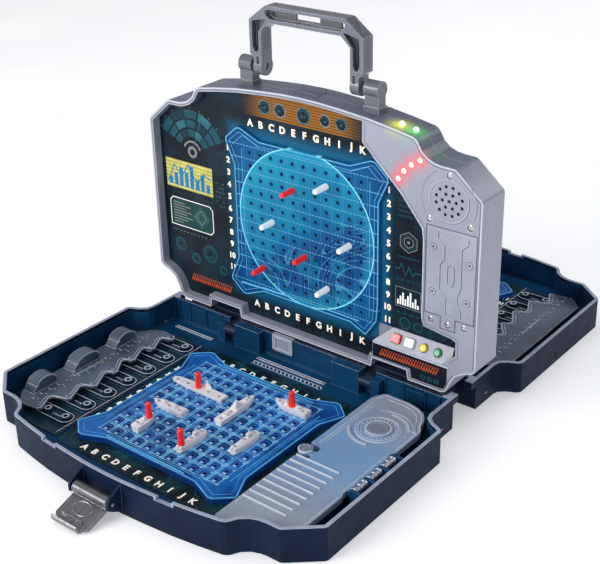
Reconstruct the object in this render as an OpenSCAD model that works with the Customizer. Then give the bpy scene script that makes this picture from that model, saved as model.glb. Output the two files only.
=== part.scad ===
// Fleet guessing case: an upright two-sided play console between two folding trays.
// X runs along the hinges, -Y towards the first player, +Z up, millimetres.
// The first player's half is drawn at -Y; the second player's half is the same turned 180 degrees about Z.

/* [Case] */
// wall thickness of each tray
tray_wall = 3.4; // [2.8:0.2:3.6]
// thickness of the tray floor slab
tray_floor = 2.8; // [2:0.2:3.6]
// depth of the console, rim to rim
console_depth = 36.8; // [36:0.2:36.8]
// width of the console's rim wall
rim_w = 4.5; // [3.6:0.1:5]
// thickness of the control housing's face
face_t = 2.2; // [1.8:0.1:2.6]

/* [Grids] */
// distance between neighbouring peg holes
pitch = 13.6; // [13.2:0.1:13.8]
// radius of a peg hole
hole_r = 2.0; // [1.9:0.05:2.1]
// thickness of the upright target grid
target_t = 4.1; // [3:0.1:4.4]
// height of the ocean grid's top above the table
ocean_top = 14; // [13:0.2:14.4]

/* [Pegs] */
// radius of a peg at its foot
peg_r = 3.3; // [2.9:0.1:3.5]
// length of an upright peg in front of its grid
peg_out = 18; // [12:0.5:18]
// length of a peg above a ship's deck
ship_peg_out = 15.6; // [10:0.2:15.6]

/* [Handle] */
// depth of the handle, front to back
handle_d = 16; // [12:0.5:17]
// height of the handle's top above the table
handle_top = 369.5; // [362:0.5:376]
// radius of the handle's stub pins
handle_pin_r = 3.5; // [3:0.1:4]

/* [Latches] */
// width of the latch plate
latch_w = 41; // [34:0.5:43]
// thickness of the latch plate
latch_t = 2.5; // [2:0.1:3]
// x position of the latch
latch_x = 0; // [-4:0.5:4]

/* [Buttons] */
// radius of a push button's cap
button_r = 5; // [4.4:0.1:5.2]

/* [Hidden] */

HC = console_depth / 2;
// hinge axis of the front tray: y = -HY, z = HZ
HY = 30;
HZ = 22.4;
// tray rim height leaves 0.4 to the console's rim when shut
RIM = HY + HZ - HC - 0.4;
SHIFT = HY - HZ;
FLOOR = 7.4;
GZ = 153;
GY = -159.5;
YC = -8.2;
YG = -8.8 - target_t;

function mx(p) = [for (i = [len(p) - 1:-1:0]) if (p[i][0] > 0.01) [-p[i][0], p[i][1]]];
function unit(v) = v / norm(v);
function nrm(a, b) = let (d = unit(b - a)) [-d[1], d[0]];
function inset(p, d) = let (n = len(p)) [for (i = [0:n - 1])
  let (a = p[(i + n - 1) % n], b = p[i], c = p[(i + 1) % n], n1 = nrm(a, b), n2 = nrm(b, c), k = 1 + n1 * n2)
  b + d * (n1 + n2) / k];

// right half of the console's outline (x, z), bottom centre to top centre
upper_half = [[200, 67], [200, 233], [198.5, 235.6], [173, 257.4], [170.5, 258.6], [157, 258.9], [151, 259.8],
  [143.5, 262.6], [137, 268], [133, 275], [130.6, 277.8], [127, 279.4], [104, 283.4], [78, 287.2], [46, 290], [21, 291.6]];
console_half = concat([[84, 33], [86, 43], [125, 43], [127, 33], [165, 33], [169, 35], [171.6, 39], [174, 46], [179, 54.4], [187.5, 60], [197, 63.6]], upper_half);
console_pts = concat(console_half, [[0, 292]], mx(console_half));
// right half of a tray's outline (x, distance from the console's middle)
tray_half = concat([[180, 20.9], [180, 56], [181.6, 61.4], [187.5, 66.6], [197, 71]],
  [for (q = upper_half) [q[0], q[1] + SHIFT]]);
tray_pts = concat(tray_half, [[0, 292 + SHIFT]], mx(tray_half));

// extrudes an (x, z) polygon between two y values
module xz(y0, y1) {
  translate([0, y1, 0]) rotate([90, 0, 0]) linear_extrude(height = y1 - y0) children();
}
// extrudes a (y, z) polygon between two x values
module yz(x0, x1) {
  translate([x0, 0, 0]) rotate([90, 0, 90]) linear_extrude(height = x1 - x0) children();
}
module turn() { rotate([0, 0, 180]) children(); }
// a cylinder along +Y from y0 to y1 centred at (x, z)
module cy(x, z, r, y0, y1, fn = 32) {
  translate([x, y0, z]) rotate([-90, 0, 0]) cylinder(r = r, h = y1 - y0, $fn = fn);
}
// a cylinder along X
module cx(y, z, r, x0, x1, fn = 32) {
  translate([x0, y, z]) rotate([0, 90, 0]) cylinder(r = r, h = x1 - x0, $fn = fn);
}
module box(a, b) { translate(a) cube(b - a); }
// tray outline drawn in plan, at -Y
module tray_plan(d) { scale([1, -1]) polygon(inset(tray_pts, d)); }

// ---------- console ----------
led_at = [[112.5, 237], [118.3, 245.5], [126, 253], [135.2, 259]];
screw_at = [[166, 251.6], [146.5, 206.7], [188.5, 208], [151, 107], [186, 108]];
housing_pts = [[73, 300], [73, 263], [84, 253], [115, 224.6], [139, 195.6], [140.5, 184], [140.5, 104.6], [143, 97], [174, 93], [178, 91], [178.3, 76.3], [171, 70.5], [165, 63.6], [86, 62.6], [86, 20], [230, 20], [230, 300]];
housing_in = [[75.2, 300], [75.2, 264], [85.4, 254.7], [116.9, 225.8], [141.2, 196.4], [142.7, 184], [142.7, 105], [144.8, 99.1], [174.6, 95.1], [180.3, 92.4], [180.5, 75.2], [172.4, 68.6], [165.8, 61.4], [90, 60.4], [90, 20], [230, 20], [230, 300]];
// slope that carries the buttons: front foot and back head in (y, z)
SF = [-HC, 62.8];
SB = [-8.8, 78.6];
SL = norm(SB - SF);
SA = atan2(SB[1] - SF[1], SB[0] - SF[0]);
button_x = [110.5, 126, 141.5, 157];

module slope_at(x) {
  translate([x, (SF[0] + SB[0]) / 2, (SF[1] + SB[1]) / 2]) rotate([SA, 0, 0]) children();
}

// outline of a square cap with clipped corners, g wider all round
function cap_pts(g) = let (a = button_r + 0.2 + g, b = button_r - 0.6 + g, c = 1.5) [[a - c, -b], [a - c * 0.3, -b + c * 0.3], [a, -b + c], [a, b - c], [a - c * 0.3, b - c * 0.3], [a - c, b],
  [-a + c, b], [-a + c * 0.3, b - c * 0.3], [-a, b - c], [-a, -b + c], [-a + c * 0.3, -b + c * 0.3], [-a + c, -b]];
module speaker_holes() {
  cy(166, 227.5, 1.7, -HC - 1, -HC + face_t + 1, 16);
  for (a = [0:60:300]) cy(166 + 7 * cos(a), 227.5 + 7 * sin(a), 1.7, -HC - 1, -HC + face_t + 1, 16);
  for (a = [15:30:345]) cy(166 + 13.6 * cos(a), 227.5 + 13.6 * sin(a), 1.7, -HC - 1, -HC + face_t + 1, 16);
}

module half_shell() {
  difference() {
    union() {
      // rim wall and the floor that backs the art card
      difference() {
        xz(-HC, -0.05) polygon(console_pts);
        xz(-HC - 1, YC) polygon(inset(console_pts, rim_w));
        xz(YC + 2, 1) polygon(inset(console_pts, rim_w));
      }
      // control housing and its button shelf
      intersection() {
        union() {
          xz(-HC, YC + 1) polygon(housing_pts);
          intersection() {
            yz(84, 172) polygon([[-HC, 30], [-HC, SF[1]], SB, [YC + 1, SB[1]], [YC + 1, 30]]);
            linear_extrude(height = 120) polygon([[86, -HC], [172, -HC], [172, 0], [103.5, 0], [103.5, -8.8]]);
          }
        }
        xz(-HC, 0) polygon(inset(console_pts, rim_w - 0.5));
      }
    }
    // hollow of the housing, open to the middle of the console
    intersection() {
      xz(-HC + face_t, 1) polygon(housing_in);
      xz(-HC, 1) polygon(inset(console_pts, rim_w));
    }
    intersection() {
      yz(106, 170) polygon([[-HC + face_t, 50], [-HC + face_t, SF[1] - 0.6], [SB[0] + 1, SB[1] - 4.6], [1, SB[1] - 4.6], [1, 50]]);
      xz(-HC, 1) polygon(inset(console_pts, rim_w));
    }
    speaker_holes();
    for (p = led_at) cy(p[0], p[1], 2.55, -HC - 1, -HC + face_t + 1);
    for (p = screw_at) { cy(p[0], p[1], 3.3, -HC - 1, -HC + 1.2); cy(p[0], p[1], 1.45, -HC, -HC + face_t + 1); }
    // battery opening with its screw tab
    xz(-HC - 1, -HC + face_t + 1) polygon([[144, 113.5], [161, 113.5], [161, 101], [177, 101], [177, 113.5], [196, 113.5], [196, 201], [144, 201]]);
    for (k = [0:3]) slope_at(button_x[k]) translate([0, 0, -15]) linear_extrude(height = 30) if (k < 2) polygon(cap_pts(0.35)); else circle(r = button_r - 0.65, $fn = 40);
    // holes for the top lights
    for (x = [107, 122]) translate([x, -5, 270]) cylinder(r = 2.55, h = 30, $fn = 24);
  }
  // low rib on the top that the shut latch hooks behind
  box([-14, -6.4, 290.5], [14, -4.6, 293.4]);
  // bosses behind the screws
  for (p = screw_at) difference() {
    cy(p[0], p[1], 3.4, -HC + face_t - 0.01, -6);
    cy(p[0], p[1], 1.45, -HC, -5);
  }
  // ledge behind the battery cover
  difference() {
    xz(-HC + face_t, -HC + face_t + 1.6) polygon([[141, 98.6], [195.4, 98.6], [195.4, 204], [141, 204]]);
    xz(-HC, 0) polygon([[146, 115.5], [163, 115.5], [194, 115.5], [194, 199], [146, 199]]);
    cy(169, 106, 1.45, -HC, 0);
    for (p = screw_at) cy(p[0], p[1], 3.3, -HC, 0);
  }
}

// the left side of each half has no light holes of its own half
module front_shell() { color([0.50, 0.51, 0.60]) half_shell(); }
module rear_shell() {
  color([0.50, 0.51, 0.60]) turn() union() {
    half_shell();
    // plugs where the second player's half has no top lights
    for (x = [107, 122]) intersection() {
      translate([x, -5, 270]) cylinder(r = 2.55, h = 30, $fn = 24);
      difference() { xz(-12, -0.05) polygon(console_pts); xz(-13, 1) polygon(inset(console_pts, rim_w)); }
    }
  }
}

// hollow beam below the console between the trays, with the arms that reach the tray hinges
module spine_arm(x0, x1) {
  difference() {
    union() {
      yz(x0, x1) polygon([[-HY, HZ - 5.2], [-12, HZ - 5.2], [-12, HZ + 5.2], [-HY, HZ + 5.2]]);
      cx(-HY, HZ, 5.2, x0, x1, 40);
    }
    cx(-HY, HZ, 2.05, x0 - 1, x1 + 1, 32);
  }
}
module hinge_spine() {
  color([0.46, 0.47, 0.56]) union() {
    difference() {
      box([-160, -14, 14], [160, 14, 33]);
      box([-157, -11.6, 13], [157, 11.6, 30.6]);
    }
    for (x = [-100, -50, 0, 50, 100]) box([x - 1, -12, 16], [x + 1, 12, 31]);
    for (s = [0, 180], m = [0, 1]) rotate([0, 0, s]) mirror([m, 0, 0]) spine_arm(80.6, 94.4);
  }
}

module art_card() {
  difference() {
    xz(-8.8, YC) polygon(inset(console_pts, rim_w + 0.2));
    xz(-9.5, 0) polygon(housing_pts);
    box([86, -10, 20], [172, 0, SB[1] + 0.1]);
  }
}
module front_art_card() { color([0.05, 0.07, 0.10]) art_card(); }
module rear_art_card() { color([0.05, 0.07, 0.10]) turn() art_card(); }

grid_q = [[55, 82.5], [79, 92.5], [84, 92], [99, 79], [99, 75], [88.5, 52]];
module grid_order(cut) {
  // corners in order round the plate
  a = grid_q;
  tl = [for (i = [0:5]) [-a[i][0], a[i][1]]];
  bl = [for (i = [5:-1:0]) [-a[i][0], -a[i][1]]];
  br = cut ? [[55, -82.5], [74, -91], [87, -72], [88.5, -52]] : [for (i = [0:5]) [a[i][0], -a[i][1]]];
  tr = [for (i = [5:-1:0]) a[i]];
  polygon(concat(tr, tl, bl, br));
}
module hole_field(h) {
  for (i = [-5:5], j = [-5:5]) translate([i * pitch, j * pitch, -1]) cylinder(r = hole_r, h = h + 2, $fn = 16);
}
module target_grid() {
  translate([0, -8.8, GZ]) rotate([90, 0, 0]) difference() {
    linear_extrude(height = target_t) grid_order(true);
    hole_field(target_t);
  }
}
module front_target_grid() { color([0.10, 0.50, 0.85]) target_grid(); }
module rear_target_grid() { color([0.10, 0.50, 0.85]) turn() target_grid(); }

module battery_cover() {
  difference() {
    xz(-HC, -HC + face_t - 0.05) polygon([[144.3, 113.8], [161.3, 113.8], [161.3, 101.3], [176.7, 101.3], [176.7, 113.8], [195.7, 113.8], [195.7, 200.7], [144.3, 200.7]]);
    cy(169, 106, 3.3, -HC - 1, -HC + 1);
    cy(169, 106, 1.45, -HC - 1, 0);
  }
}
module front_battery_cover() { color([0.50, 0.51, 0.60]) battery_cover(); }
module rear_battery_cover() { color([0.50, 0.51, 0.60]) turn() battery_cover(); }

module screw_y(x, z, len) {
  difference() {
    translate([x, -HC + 0.1, z]) rotate([-90, 0, 0]) rotate_extrude($fn = 32)
      polygon([[0, 0], [2.2, 0], [2.9, 0.35], [2.9, 0.9], [1.4, 0.9], [1.4, len], [0, len + 0.8]]);
    box([x - 0.3, -HC - 1, z - 1.6], [x + 0.3, -HC + 0.6, z + 1.6]);
    box([x - 1.6, -HC - 1, z - 0.3], [x + 1.6, -HC + 0.6, z + 0.3]);
  }
}
module screws_one_side() {
  for (p = screw_at) screw_y(p[0], p[1], 9);
  screw_y(169, 106, 6);
}
module case_screws() { color([0.62, 0.62, 0.65]) { screws_one_side(); turn() screws_one_side(); } }

module speaker() {
  translate([166, -HC + face_t + 0.2, 227.5]) rotate([-90, 0, 0]) rotate_extrude($fn = 48)
    polygon([[0, 3.4], [4, 3.4], [15, 0.9], [17, 0.9], [17, 0], [19, 0], [19, 1.8], [15.5, 1.8], [9.5, 5.6], [9.5, 12], [0, 12]]);
}
module speakers() { color([0.15, 0.15, 0.17]) { speaker(); turn() speaker(); } }

module cells() {
  for (x = [154, 170, 186]) translate([x, -9, 125]) rotate_extrude($fn = 32)
    polygon([[0, 0], [7.1, 0], [7.1, 49], [2.7, 49], [2.7, 50.5], [0, 50.5]]);
}
module batteries() { color([0.75, 0.55, 0.20]) { cells(); turn() cells(); } }

// one board in the middle of the console
module circuit_board() {
  color([0.10, 0.35, 0.18]) union() {
    box([-60, -0.8, 110], [60, 0.8, 190]);
    box([-14, 0.7, 140], [14, 3.2, 160]);
    box([-50, 0.7, 120], [-30, 4, 130]);
    cy(30, 175, 4, 0.7, 5.6);
    cy(44, 175, 4, 0.7, 5.6);
  }
}

module leds_one_side() {
  for (p = led_at) translate([p[0], -HC - 1.3, p[1]]) rotate([-90, 0, 0]) rotate_extrude($fn = 24)
    polygon([[0, 0], [1.2, 0.3], [2.1, 1], [2.5, 2], [2.5, 4.6], [3, 4.6], [3, 5.6], [0, 5.6]]);
}
module signal_leds() { color([0.85, 0.08, 0.06]) { leds_one_side(); turn() leds_one_side(); } }
module top_led(x, z) {
  translate([x, -5, z]) rotate_extrude($fn = 24)
    polygon([[0, -6.4], [2.5, -6.4], [2.5, 1], [2.1, 1.9], [1.2, 2.6], [0, 2.8]]);
}
module top_led_yellow() { color([0.95, 0.75, 0.10]) top_led(107, 283.2); }
module top_led_green() { color([0.20, 0.75, 0.25]) top_led(122, 280.6); }

module bracket() {
  PZ = 308.5;
  difference() {
    union() {
      cx(0, PZ, 8, 66.6, 82, 40);
      box([66.6, -5.5, 270], [82, 5.5, PZ]);
      box([65.6, -6.6, 270], [83, 6.6, 293]);
    }
    xz(-20, 20) polygon(console_pts);
  }
  cx(0, PZ, handle_pin_r, 53.5, 67, 32);
}
module handle_brackets() {
  color([0.50, 0.51, 0.60]) { bracket(); turn() bracket(); }
}

// ---------- handle ----------
module handle() {
  PZ = 308.5;
  T = handle_top;
  D = handle_d / 2;
  outer = [[66, 322], [66, T - 15], [46, T], [-46, T], [-66, T - 15], [-66, 322], [-61.5, 318], [-61.5, PZ], [-52, PZ], [-52, T - 25], [-42, T - 16], [42, T - 16], [52, T - 25], [52, PZ], [61.5, PZ], [61.5, 318]];
  color([0.47, 0.48, 0.56]) difference() {
    union() {
      xz(-D, D) polygon(outer);
      for (m = [0, 1]) mirror([m, 0, 0]) cx(0, PZ, 9, 52, 61.5, 48);
    }
    // channels front and back, legs and bar
    for (s = [0, 1]) mirror([0, s, 0]) {
      xz(-D - 1, -1.4) polygon([[49, T - 13], [62.8, T - 16], [62.8, 328], [60, 323.5], [57, 323.5], [54.8, 328], [54.8, T - 26], [44, T - 12.6]]);
      xz(-D - 1, -1.4) polygon([[-49, T - 13], [-62.8, T - 16], [-62.8, 328], [-60, 323.5], [-57, 323.5], [-54.8, 328], [-54.8, T - 26], [-44, T - 12.6]]);
      xz(-D - 1, -1.4) polygon([[-42, T - 3], [42, T - 3], [46.5, T - 4.2], [46.5, T - 8], [41, T - 12.4], [-41, T - 12.4], [-46.5, T - 8], [-46.5, T - 4.2]]);
      // groove in each foot
      for (m = [0, 1]) mirror([m, 0, 0]) xz(-D - 1, -D + 2.2) polygon([[54.6, 312], [58.4, 312], [58.4, 319.5], [54.6, 319.5]]);
    }
    // windows through the web
    xz(-D - 1, D + 1) polygon([[-14, T - 4], [14, T - 4], [14, T - 11], [-14, T - 11]]);
    for (m = [0, 1]) mirror([m, 0, 0]) xz(-D - 1, D + 1) polygon([[38, T - 4.4], [45, T - 5.2], [45, T - 8], [40, T - 11.6], [38, T - 11.6]]);
    for (m = [0, 1]) mirror([m, 0, 0]) cx(0, PZ, handle_pin_r + 0.05, 50, 64, 32);
  }
}

// ---------- buttons ----------
module button(k) {
  R = button_r - 1;
  slope_at(button_x[k])
    if (k < 2) union() {
      translate([0, 0, -5.4]) linear_extrude(height = 7.4) polygon(cap_pts(0));
      translate([0, 0, 1.9]) linear_extrude(height = 0.8) polygon(cap_pts(-0.6));
    }
    else rotate_extrude($fn = 40) polygon([[0, -5.4], [R, -5.4], [R, 1.9], [R - 0.5, 2.5], [R - 1.4, 2.8], [0, 3]]);
}
module front_red_button() { color([0.85, 0.10, 0.08]) button(0); }
module front_white_button() { color([0.92, 0.92, 0.92]) button(1); }
module front_yellow_button() { color([0.95, 0.78, 0.15]) button(2); }
module front_green_button() { color([0.15, 0.60, 0.25]) button(3); }
module rear_red_button() { color([0.85, 0.10, 0.08]) turn() button(0); }
module rear_white_button() { color([0.92, 0.92, 0.92]) turn() button(1); }
module rear_yellow_button() { color([0.95, 0.78, 0.15]) turn() button(2); }
module rear_green_button() { color([0.15, 0.60, 0.25]) turn() button(3); }

// ---------- pegs ----------
// a peg standing on z = 0 with its stem below
module peg(out, stem) {
  rotate_extrude($fn = 24)
    polygon([[0, -stem], [hole_r - 0.3, -stem], [hole_r - 0.1, -stem + 0.5], [hole_r - 0.1, 0], [peg_r, 0], [peg_r - 0.5, out - 0.9], [peg_r - 1.2, out], [0, out]]);
}
module upright_peg(i, j) {
  translate([i * pitch, YG, GZ + j * pitch]) rotate([90, 0, 0]) peg(peg_out, target_t - 0.2);
}
module front_red_target_pegs() { color([0.88, 0.12, 0.08]) { upright_peg(-1, 3); upright_peg(0, -2); upright_peg(-4, -4); } }
module front_white_target_pegs() { color([0.93, 0.93, 0.93]) { upright_peg(2, 4); upright_peg(-3, 0); upright_peg(4, 0); upright_peg(2, -4); } }

// ---------- trays, drawn at -Y ----------
LPY = -309.5;
LPZ = 16;
// x position of the storage lid's hinge
LHX = 184.6;
// inner face of the tray's hinge wall, with a hair's gap
CLY = -20.95 - tray_wall;
module tray_shell() {
  W = tray_wall;
  difference() {
    union() {
      difference() {
        linear_extrude(height = RIM) tray_plan(0);
        translate([0, 0, FLOOR]) linear_extrude(height = 40) tray_plan(W);
        translate([0, 0, -1]) linear_extrude(height = FLOOR - tray_floor + 1) tray_plan(W);
      }
      // stiffening ribs under the floor
      intersection() {
        union() {
          for (x = [-150, -100, -50, 0, 50, 100, 150]) box([x - 1, -300, 0.6], [x + 1, -22, FLOOR - 1]);
          for (y = [-270, -220, -170, -120, -70]) box([-199, y - 1, 0.6], [199, y + 1, FLOOR - 1]);
        }
        linear_extrude(height = 10) tray_plan(W - 1);
      }
      // feet at the hinge corners, on which the shut case stands
      for (m = [0, 1]) mirror([m, 0, 0]) box([171.8, -24, 26], [180, -12.4, RIM]);
      // hinge blocks on the back wall
      for (m = [0, 1]) mirror([m, 0, 0]) {
        box([47, -34, FLOOR - 1], [80.2, -22, RIM - 0.4]);
        box([94.8, -34, FLOOR - 1], [104, -22, 28.4]);
      }
      // low kerbs along the back wall and in front of it
      for (s = [[-164, -105], [-44, 44], [105, 164]]) {
        box([s[0], -27, FLOOR - 1], [s[1], -23, 10]);
        box([s[0] + 4, -39.4, FLOOR - 1], [s[1] - 4, -38.2, 8.8]);
        box([s[0] + 4, -42.4, FLOOR - 1], [s[1] - 4, -41.2, 8.8]);
      }
      // wall that carries the storage lid's free edge
      intersection() {
        union() {
          box([107, -268, FLOOR - 1], [109, -52, 20]);
          box([109, -54, FLOOR - 1], [170, -52, 20]);
          box([168, -262, FLOOR - 1], [170, -75, 20]);
        }
        linear_extrude(height = 40) tray_plan(W - 0.5);
      }
      // brackets and pin of the storage lid's hinge
      for (y = [-188, -167, -146, -125]) xz(y - 1.3, y + 1.3) polygon([[199, 10], [199, 30.6], [182.6, 30.6], [181.2, 25], [187.6, 12]]);
      cy(LHX, 26, 1.6, -189, -124, 24);
      // latch ears on the outer wall
      for (s = [-1, 1]) yz(latch_x + s * 23.4 - 1.1, latch_x + s * 23.4 + 1.1)
        polygon([[-297.5, 4], [-297.5, 29], [-301, 28.5], [-312.5, 22.6], [-315.4, 19], [-315.4, 13], [-311, 9.6], [-305, 6]]);
    }
    // slots for the hinge arms
    for (m = [0, 1]) mirror([m, 0, 0]) box([80.2, -26, HZ - 6], [94.8, -20, 40]);
    // bores for the hinge pins
    for (m = [0, 1]) mirror([m, 0, 0]) cx(-HY, HZ, 2.02, 60, 103, 32);
    // two shallow dips in the outer rim
    for (m = [0, 1]) mirror([m, 0, 0]) box([63.5, -305, RIM - 3], [79.5, -288, RIM + 1]);
    // bore for the latch pin
    cx(LPY, LPZ, 1.52, latch_x - 26, latch_x + 26, 24);
    // the back wall stops below the console
    box([-170, CLY, RIM - 0.7], [170, -20, RIM + 1]);
  }
}
module front_tray_shell() { color([0.05, 0.08, 0.16]) tray_shell(); }
module rear_tray_shell() { color([0.05, 0.08, 0.16]) turn() tray_shell(); }

module ocean_grid() {
  translate([0, GY, FLOOR + 0.8]) difference() {
    linear_extrude(height = ocean_top - FLOOR - 0.8) grid_order(false);
    hole_field(ocean_top - FLOOR - 0.8);
    // hollow underside
    translate([0, 0, -1]) linear_extrude(height = 3) polygon([[-76, -74], [76, -74], [76, 74], [-76, 74]]);
  }
}
module front_ocean_grid() { color([0.10, 0.45, 0.85]) ocean_grid(); }
module rear_ocean_grid() { color([0.10, 0.45, 0.85]) turn() ocean_grid(); }

module ocean_card() {
  translate([0, 0, FLOOR]) linear_extrude(height = 0.7)
    polygon([[-101, -60], [-95, -55], [95, -55], [101, -60], [104, -64], [104, -256], [96, -266], [-96, -266], [-101, -260]]);
}
module front_ocean_card() { color([0.04, 0.07, 0.10]) ocean_card(); }
module rear_ocean_card() { color([0.04, 0.07, 0.10]) turn() ocean_card(); }

rack_y = [-75, -102.5, -130, -157.5, -185, -212.5, -240];
// outline of one trough, its round end at +X
function trough(y, r) = concat([for (i = [0:12]) let (a = -90 + 15 * i) [-114 + r * cos(a), y + r * sin(a)]], [[-154, y + r], [-154, y - r]]);
module ship_rack() {
  difference() {
    union() {
      translate([0, 0, FLOOR]) linear_extrude(height = 1.6)
        polygon([[-104, -58], [-176, -58], [-176, -66], [-184, -70], [-193, -74], [-193, -238], [-170, -258], [-150, -262], [-104, -262]]);
      for (y = rack_y) {
        // trough wall with two posts and a bar between them
        translate([0, 0, FLOOR + 1]) linear_extrude(height = 4) difference() { polygon(trough(y, 8.4)); polygon(trough(y, 7.2)); }
        for (x = [-139, -114]) translate([x, y, FLOOR + 1]) cylinder(r = 3.9, h = 6.2, $fn = 32);
        box([-132.5, y - 1.8, FLOOR + 1], [-121, y + 1.8, FLOOR + 3.4]);
      }
      box([-105.2, -260, FLOOR + 1], [-104.3, -60, FLOOR + 3.4]);
      // posts under the dock plate
      for (p = [[-170, -238], [-170, -160], [-170, -92], [-158, -200], [-158, -120]]) translate([p[0], p[1], FLOOR + 1]) cylinder(r = 3, h = 7.5, $fn = 24);
    }
    for (y = rack_y, x = [-139, -114]) translate([x, y, FLOOR - 1]) cylinder(r = 2.1, h = 12, $fn = 32);
  }
}
module front_ship_rack() { color([0.06, 0.12, 0.22]) ship_rack(); }
module rear_ship_rack() { color([0.06, 0.12, 0.22]) turn() ship_rack(); }

DZ = FLOOR + 8.5;
dock_edge = [[-164, -254], [-141, -251], [-138.5, -248], [-147, -231], [-144, -227], [-131, -223], [-128.5, -219.5], [-138, -199], [-136, -195], [-128, -192], [-126, -188], [-137, -167], [-135.5, -163], [-130.5, -161], [-129, -157], [-141, -140], [-139.5, -136], [-134, -134], [-132, -130], [-141.5, -110], [-140, -106.6], [-134, -104.6], [-132, -101], [-141, -84], [-139, -80], [-131, -78], [-129.5, -75], [-133, -70.6], [-150, -69], [-160, -73], [-179, -96], [-179, -238]];
function arc_pts(y0, y1, z0, h, n) = [for (i = [0:n]) let (t = i / n, a = 180 * t) [y0 + (y1 - y0) * (1 - cos(a)) / 2, z0 + h * sin(a)]];
// cradle block: sloping near face, rounded top, upright far face
function cradle(yc, l, d) = concat([[yc - l / 2 + d, DZ - 0.5], [yc - l / 2 + d, DZ + 1], [yc - l / 2 + l * 0.16 + d, DZ + 8.4 - d * 0.4]],
  arc_pts(yc - l / 2 + l * 0.2 + d, yc + l / 2 - d, DZ + 8.6 - d * 0.4, 6.2 - d * 0.6, 14), [[yc + l / 2 - d, DZ - 0.5]]);
module dock_arch(yc, l) {
  difference() {
    yz(-178, -163.5) polygon([for (q = cradle(yc, l, 0)) [q[0], max(q[1], DZ + 1)]]);
    yz(-176.4, -165.1) polygon(cradle(yc, l, 1.7));
  }
}
module dock_plate(cradles) {
  union() {
    difference() {
      translate([0, 0, DZ]) linear_extrude(height = 2.2) polygon(dock_edge);
      if (cradles) for (q = [[-222, 31], [-168, 37], [-113, 31]]) box([-176.4, q[0] - q[1] / 2 + 1.7, DZ - 1], [-165.1, q[0] + q[1] / 2 - 1.7, DZ + 3]);
    }
    if (cradles) {
      dock_arch(-222, 31);
      dock_arch(-168, 37);
      dock_arch(-113, 31);
    }
    // studs along the wavy edge and a long bead
    for (p = [[-145, -246], [-134.5, -219], [-132, -188.5], [-135, -157.5], [-138, -130.5], [-138, -101.5], [-135.5, -76]]) translate([p[0], p[1], DZ + 2]) cylinder(r = 1.8, h = 1.4, $fn = 20);
    box([-158.5, -186, DZ + 2], [-157, -150, DZ + 3]);
  }
}
module front_dock_plate() { color([0.42, 0.44, 0.50]) dock_plate(true); }
module rear_dock_plate() { color([0.42, 0.44, 0.50]) turn() dock_plate(false); }

LTOP = 27;
lid_pts = [[112, -58], [113.2, -54], [118, -44.4], [121, -43], [146, -43.4], [158, -46], [166.6, -51], [171, -56.6], [174, -62], [175.4, -68.4], [176.6, -71.4], [179.6, -75.4], [181.2, -80], [181.2, -117], [178.6, -121], [178.6, -192], [180.8, -196], [180.8, -243.6], [176.4, -246.6], [173.6, -254], [169, -260], [165, -300], [118, -300], [112, -276], [112, -174], [114, -172], [125, -172], [125, -151], [112, -149]];
module deck_lid() {
  difference() {
    union() {
      intersection() {
        difference() {
          translate([0, 0, LTOP - 6]) linear_extrude(height = 6) polygon(lid_pts);
          translate([0, 0, LTOP - 7]) linear_extrude(height = 5) polygon(inset([for (i = [len(lid_pts) - 1:-1:0]) lid_pts[i]], 1.8));
        }
        linear_extrude(height = 60) tray_plan(tray_wall + 0.6);
      }
      intersection() {
        union() {
          // grip ribs, dial rings and crescent
          for (k = [0:8]) box([113, -244.6 + 9 * k, LTOP - 0.5], [160, -243.2 + 9 * k, LTOP + 1]);
          translate([148, -97, LTOP - 0.5]) cylinder(r = 13, h = 1.9, $fn = 48);
          translate([148, -97, LTOP - 0.5]) difference() { cylinder(r = 21, h = 1.3, $fn = 48); translate([0, 0, -1]) cylinder(r = 18.6, h = 4, $fn = 48); }
          translate([148, -97, LTOP - 0.5]) difference() {
            cylinder(r = 34, h = 1.3, $fn = 64);
            translate([0, 0, -1]) cylinder(r = 31, h = 4, $fn = 64);
            box([-60, -60, -2], [60, 14, 8]);
            box([-60, -60, -2], [-16, 60, 8]);
          }
        }
        linear_extrude(height = 60) tray_plan(tray_wall + 0.6);
      }
      // thumb catch
      translate([115, -161.5, LTOP - 6]) cylinder(r = 6.8, h = 8.2, $fn = 40);
      box([115, -165, LTOP - 2.2], [126.5, -158, LTOP]);
      // knuckles
      for (q = [[-185.9, -169.1], [-164.9, -148.1], [-143.9, -127.1]]) {
        cy(LHX, 26, 4.4, q[0], q[1], 32);
        box([177.2, q[0], 24], [LHX, q[1], 26.8]);
      }
    }
    cy(LHX, 26, 1.65, -200, -110, 24);
  }
}
module front_deck_lid() { color([0.58, 0.66, 0.78]) deck_lid(); }
module rear_deck_lid() { color([0.58, 0.66, 0.78]) turn() deck_lid(); }

module hinge_pin_pair() { for (m = [0, 1]) mirror([m, 0, 0]) cx(-HY, HZ, 2.0, 60.5, 102.5, 32); }
module front_hinge_pins() { color([0.6, 0.6, 0.62]) hinge_pin_pair(); }
module rear_hinge_pins() { color([0.6, 0.6, 0.62]) turn() hinge_pin_pair(); }

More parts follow.
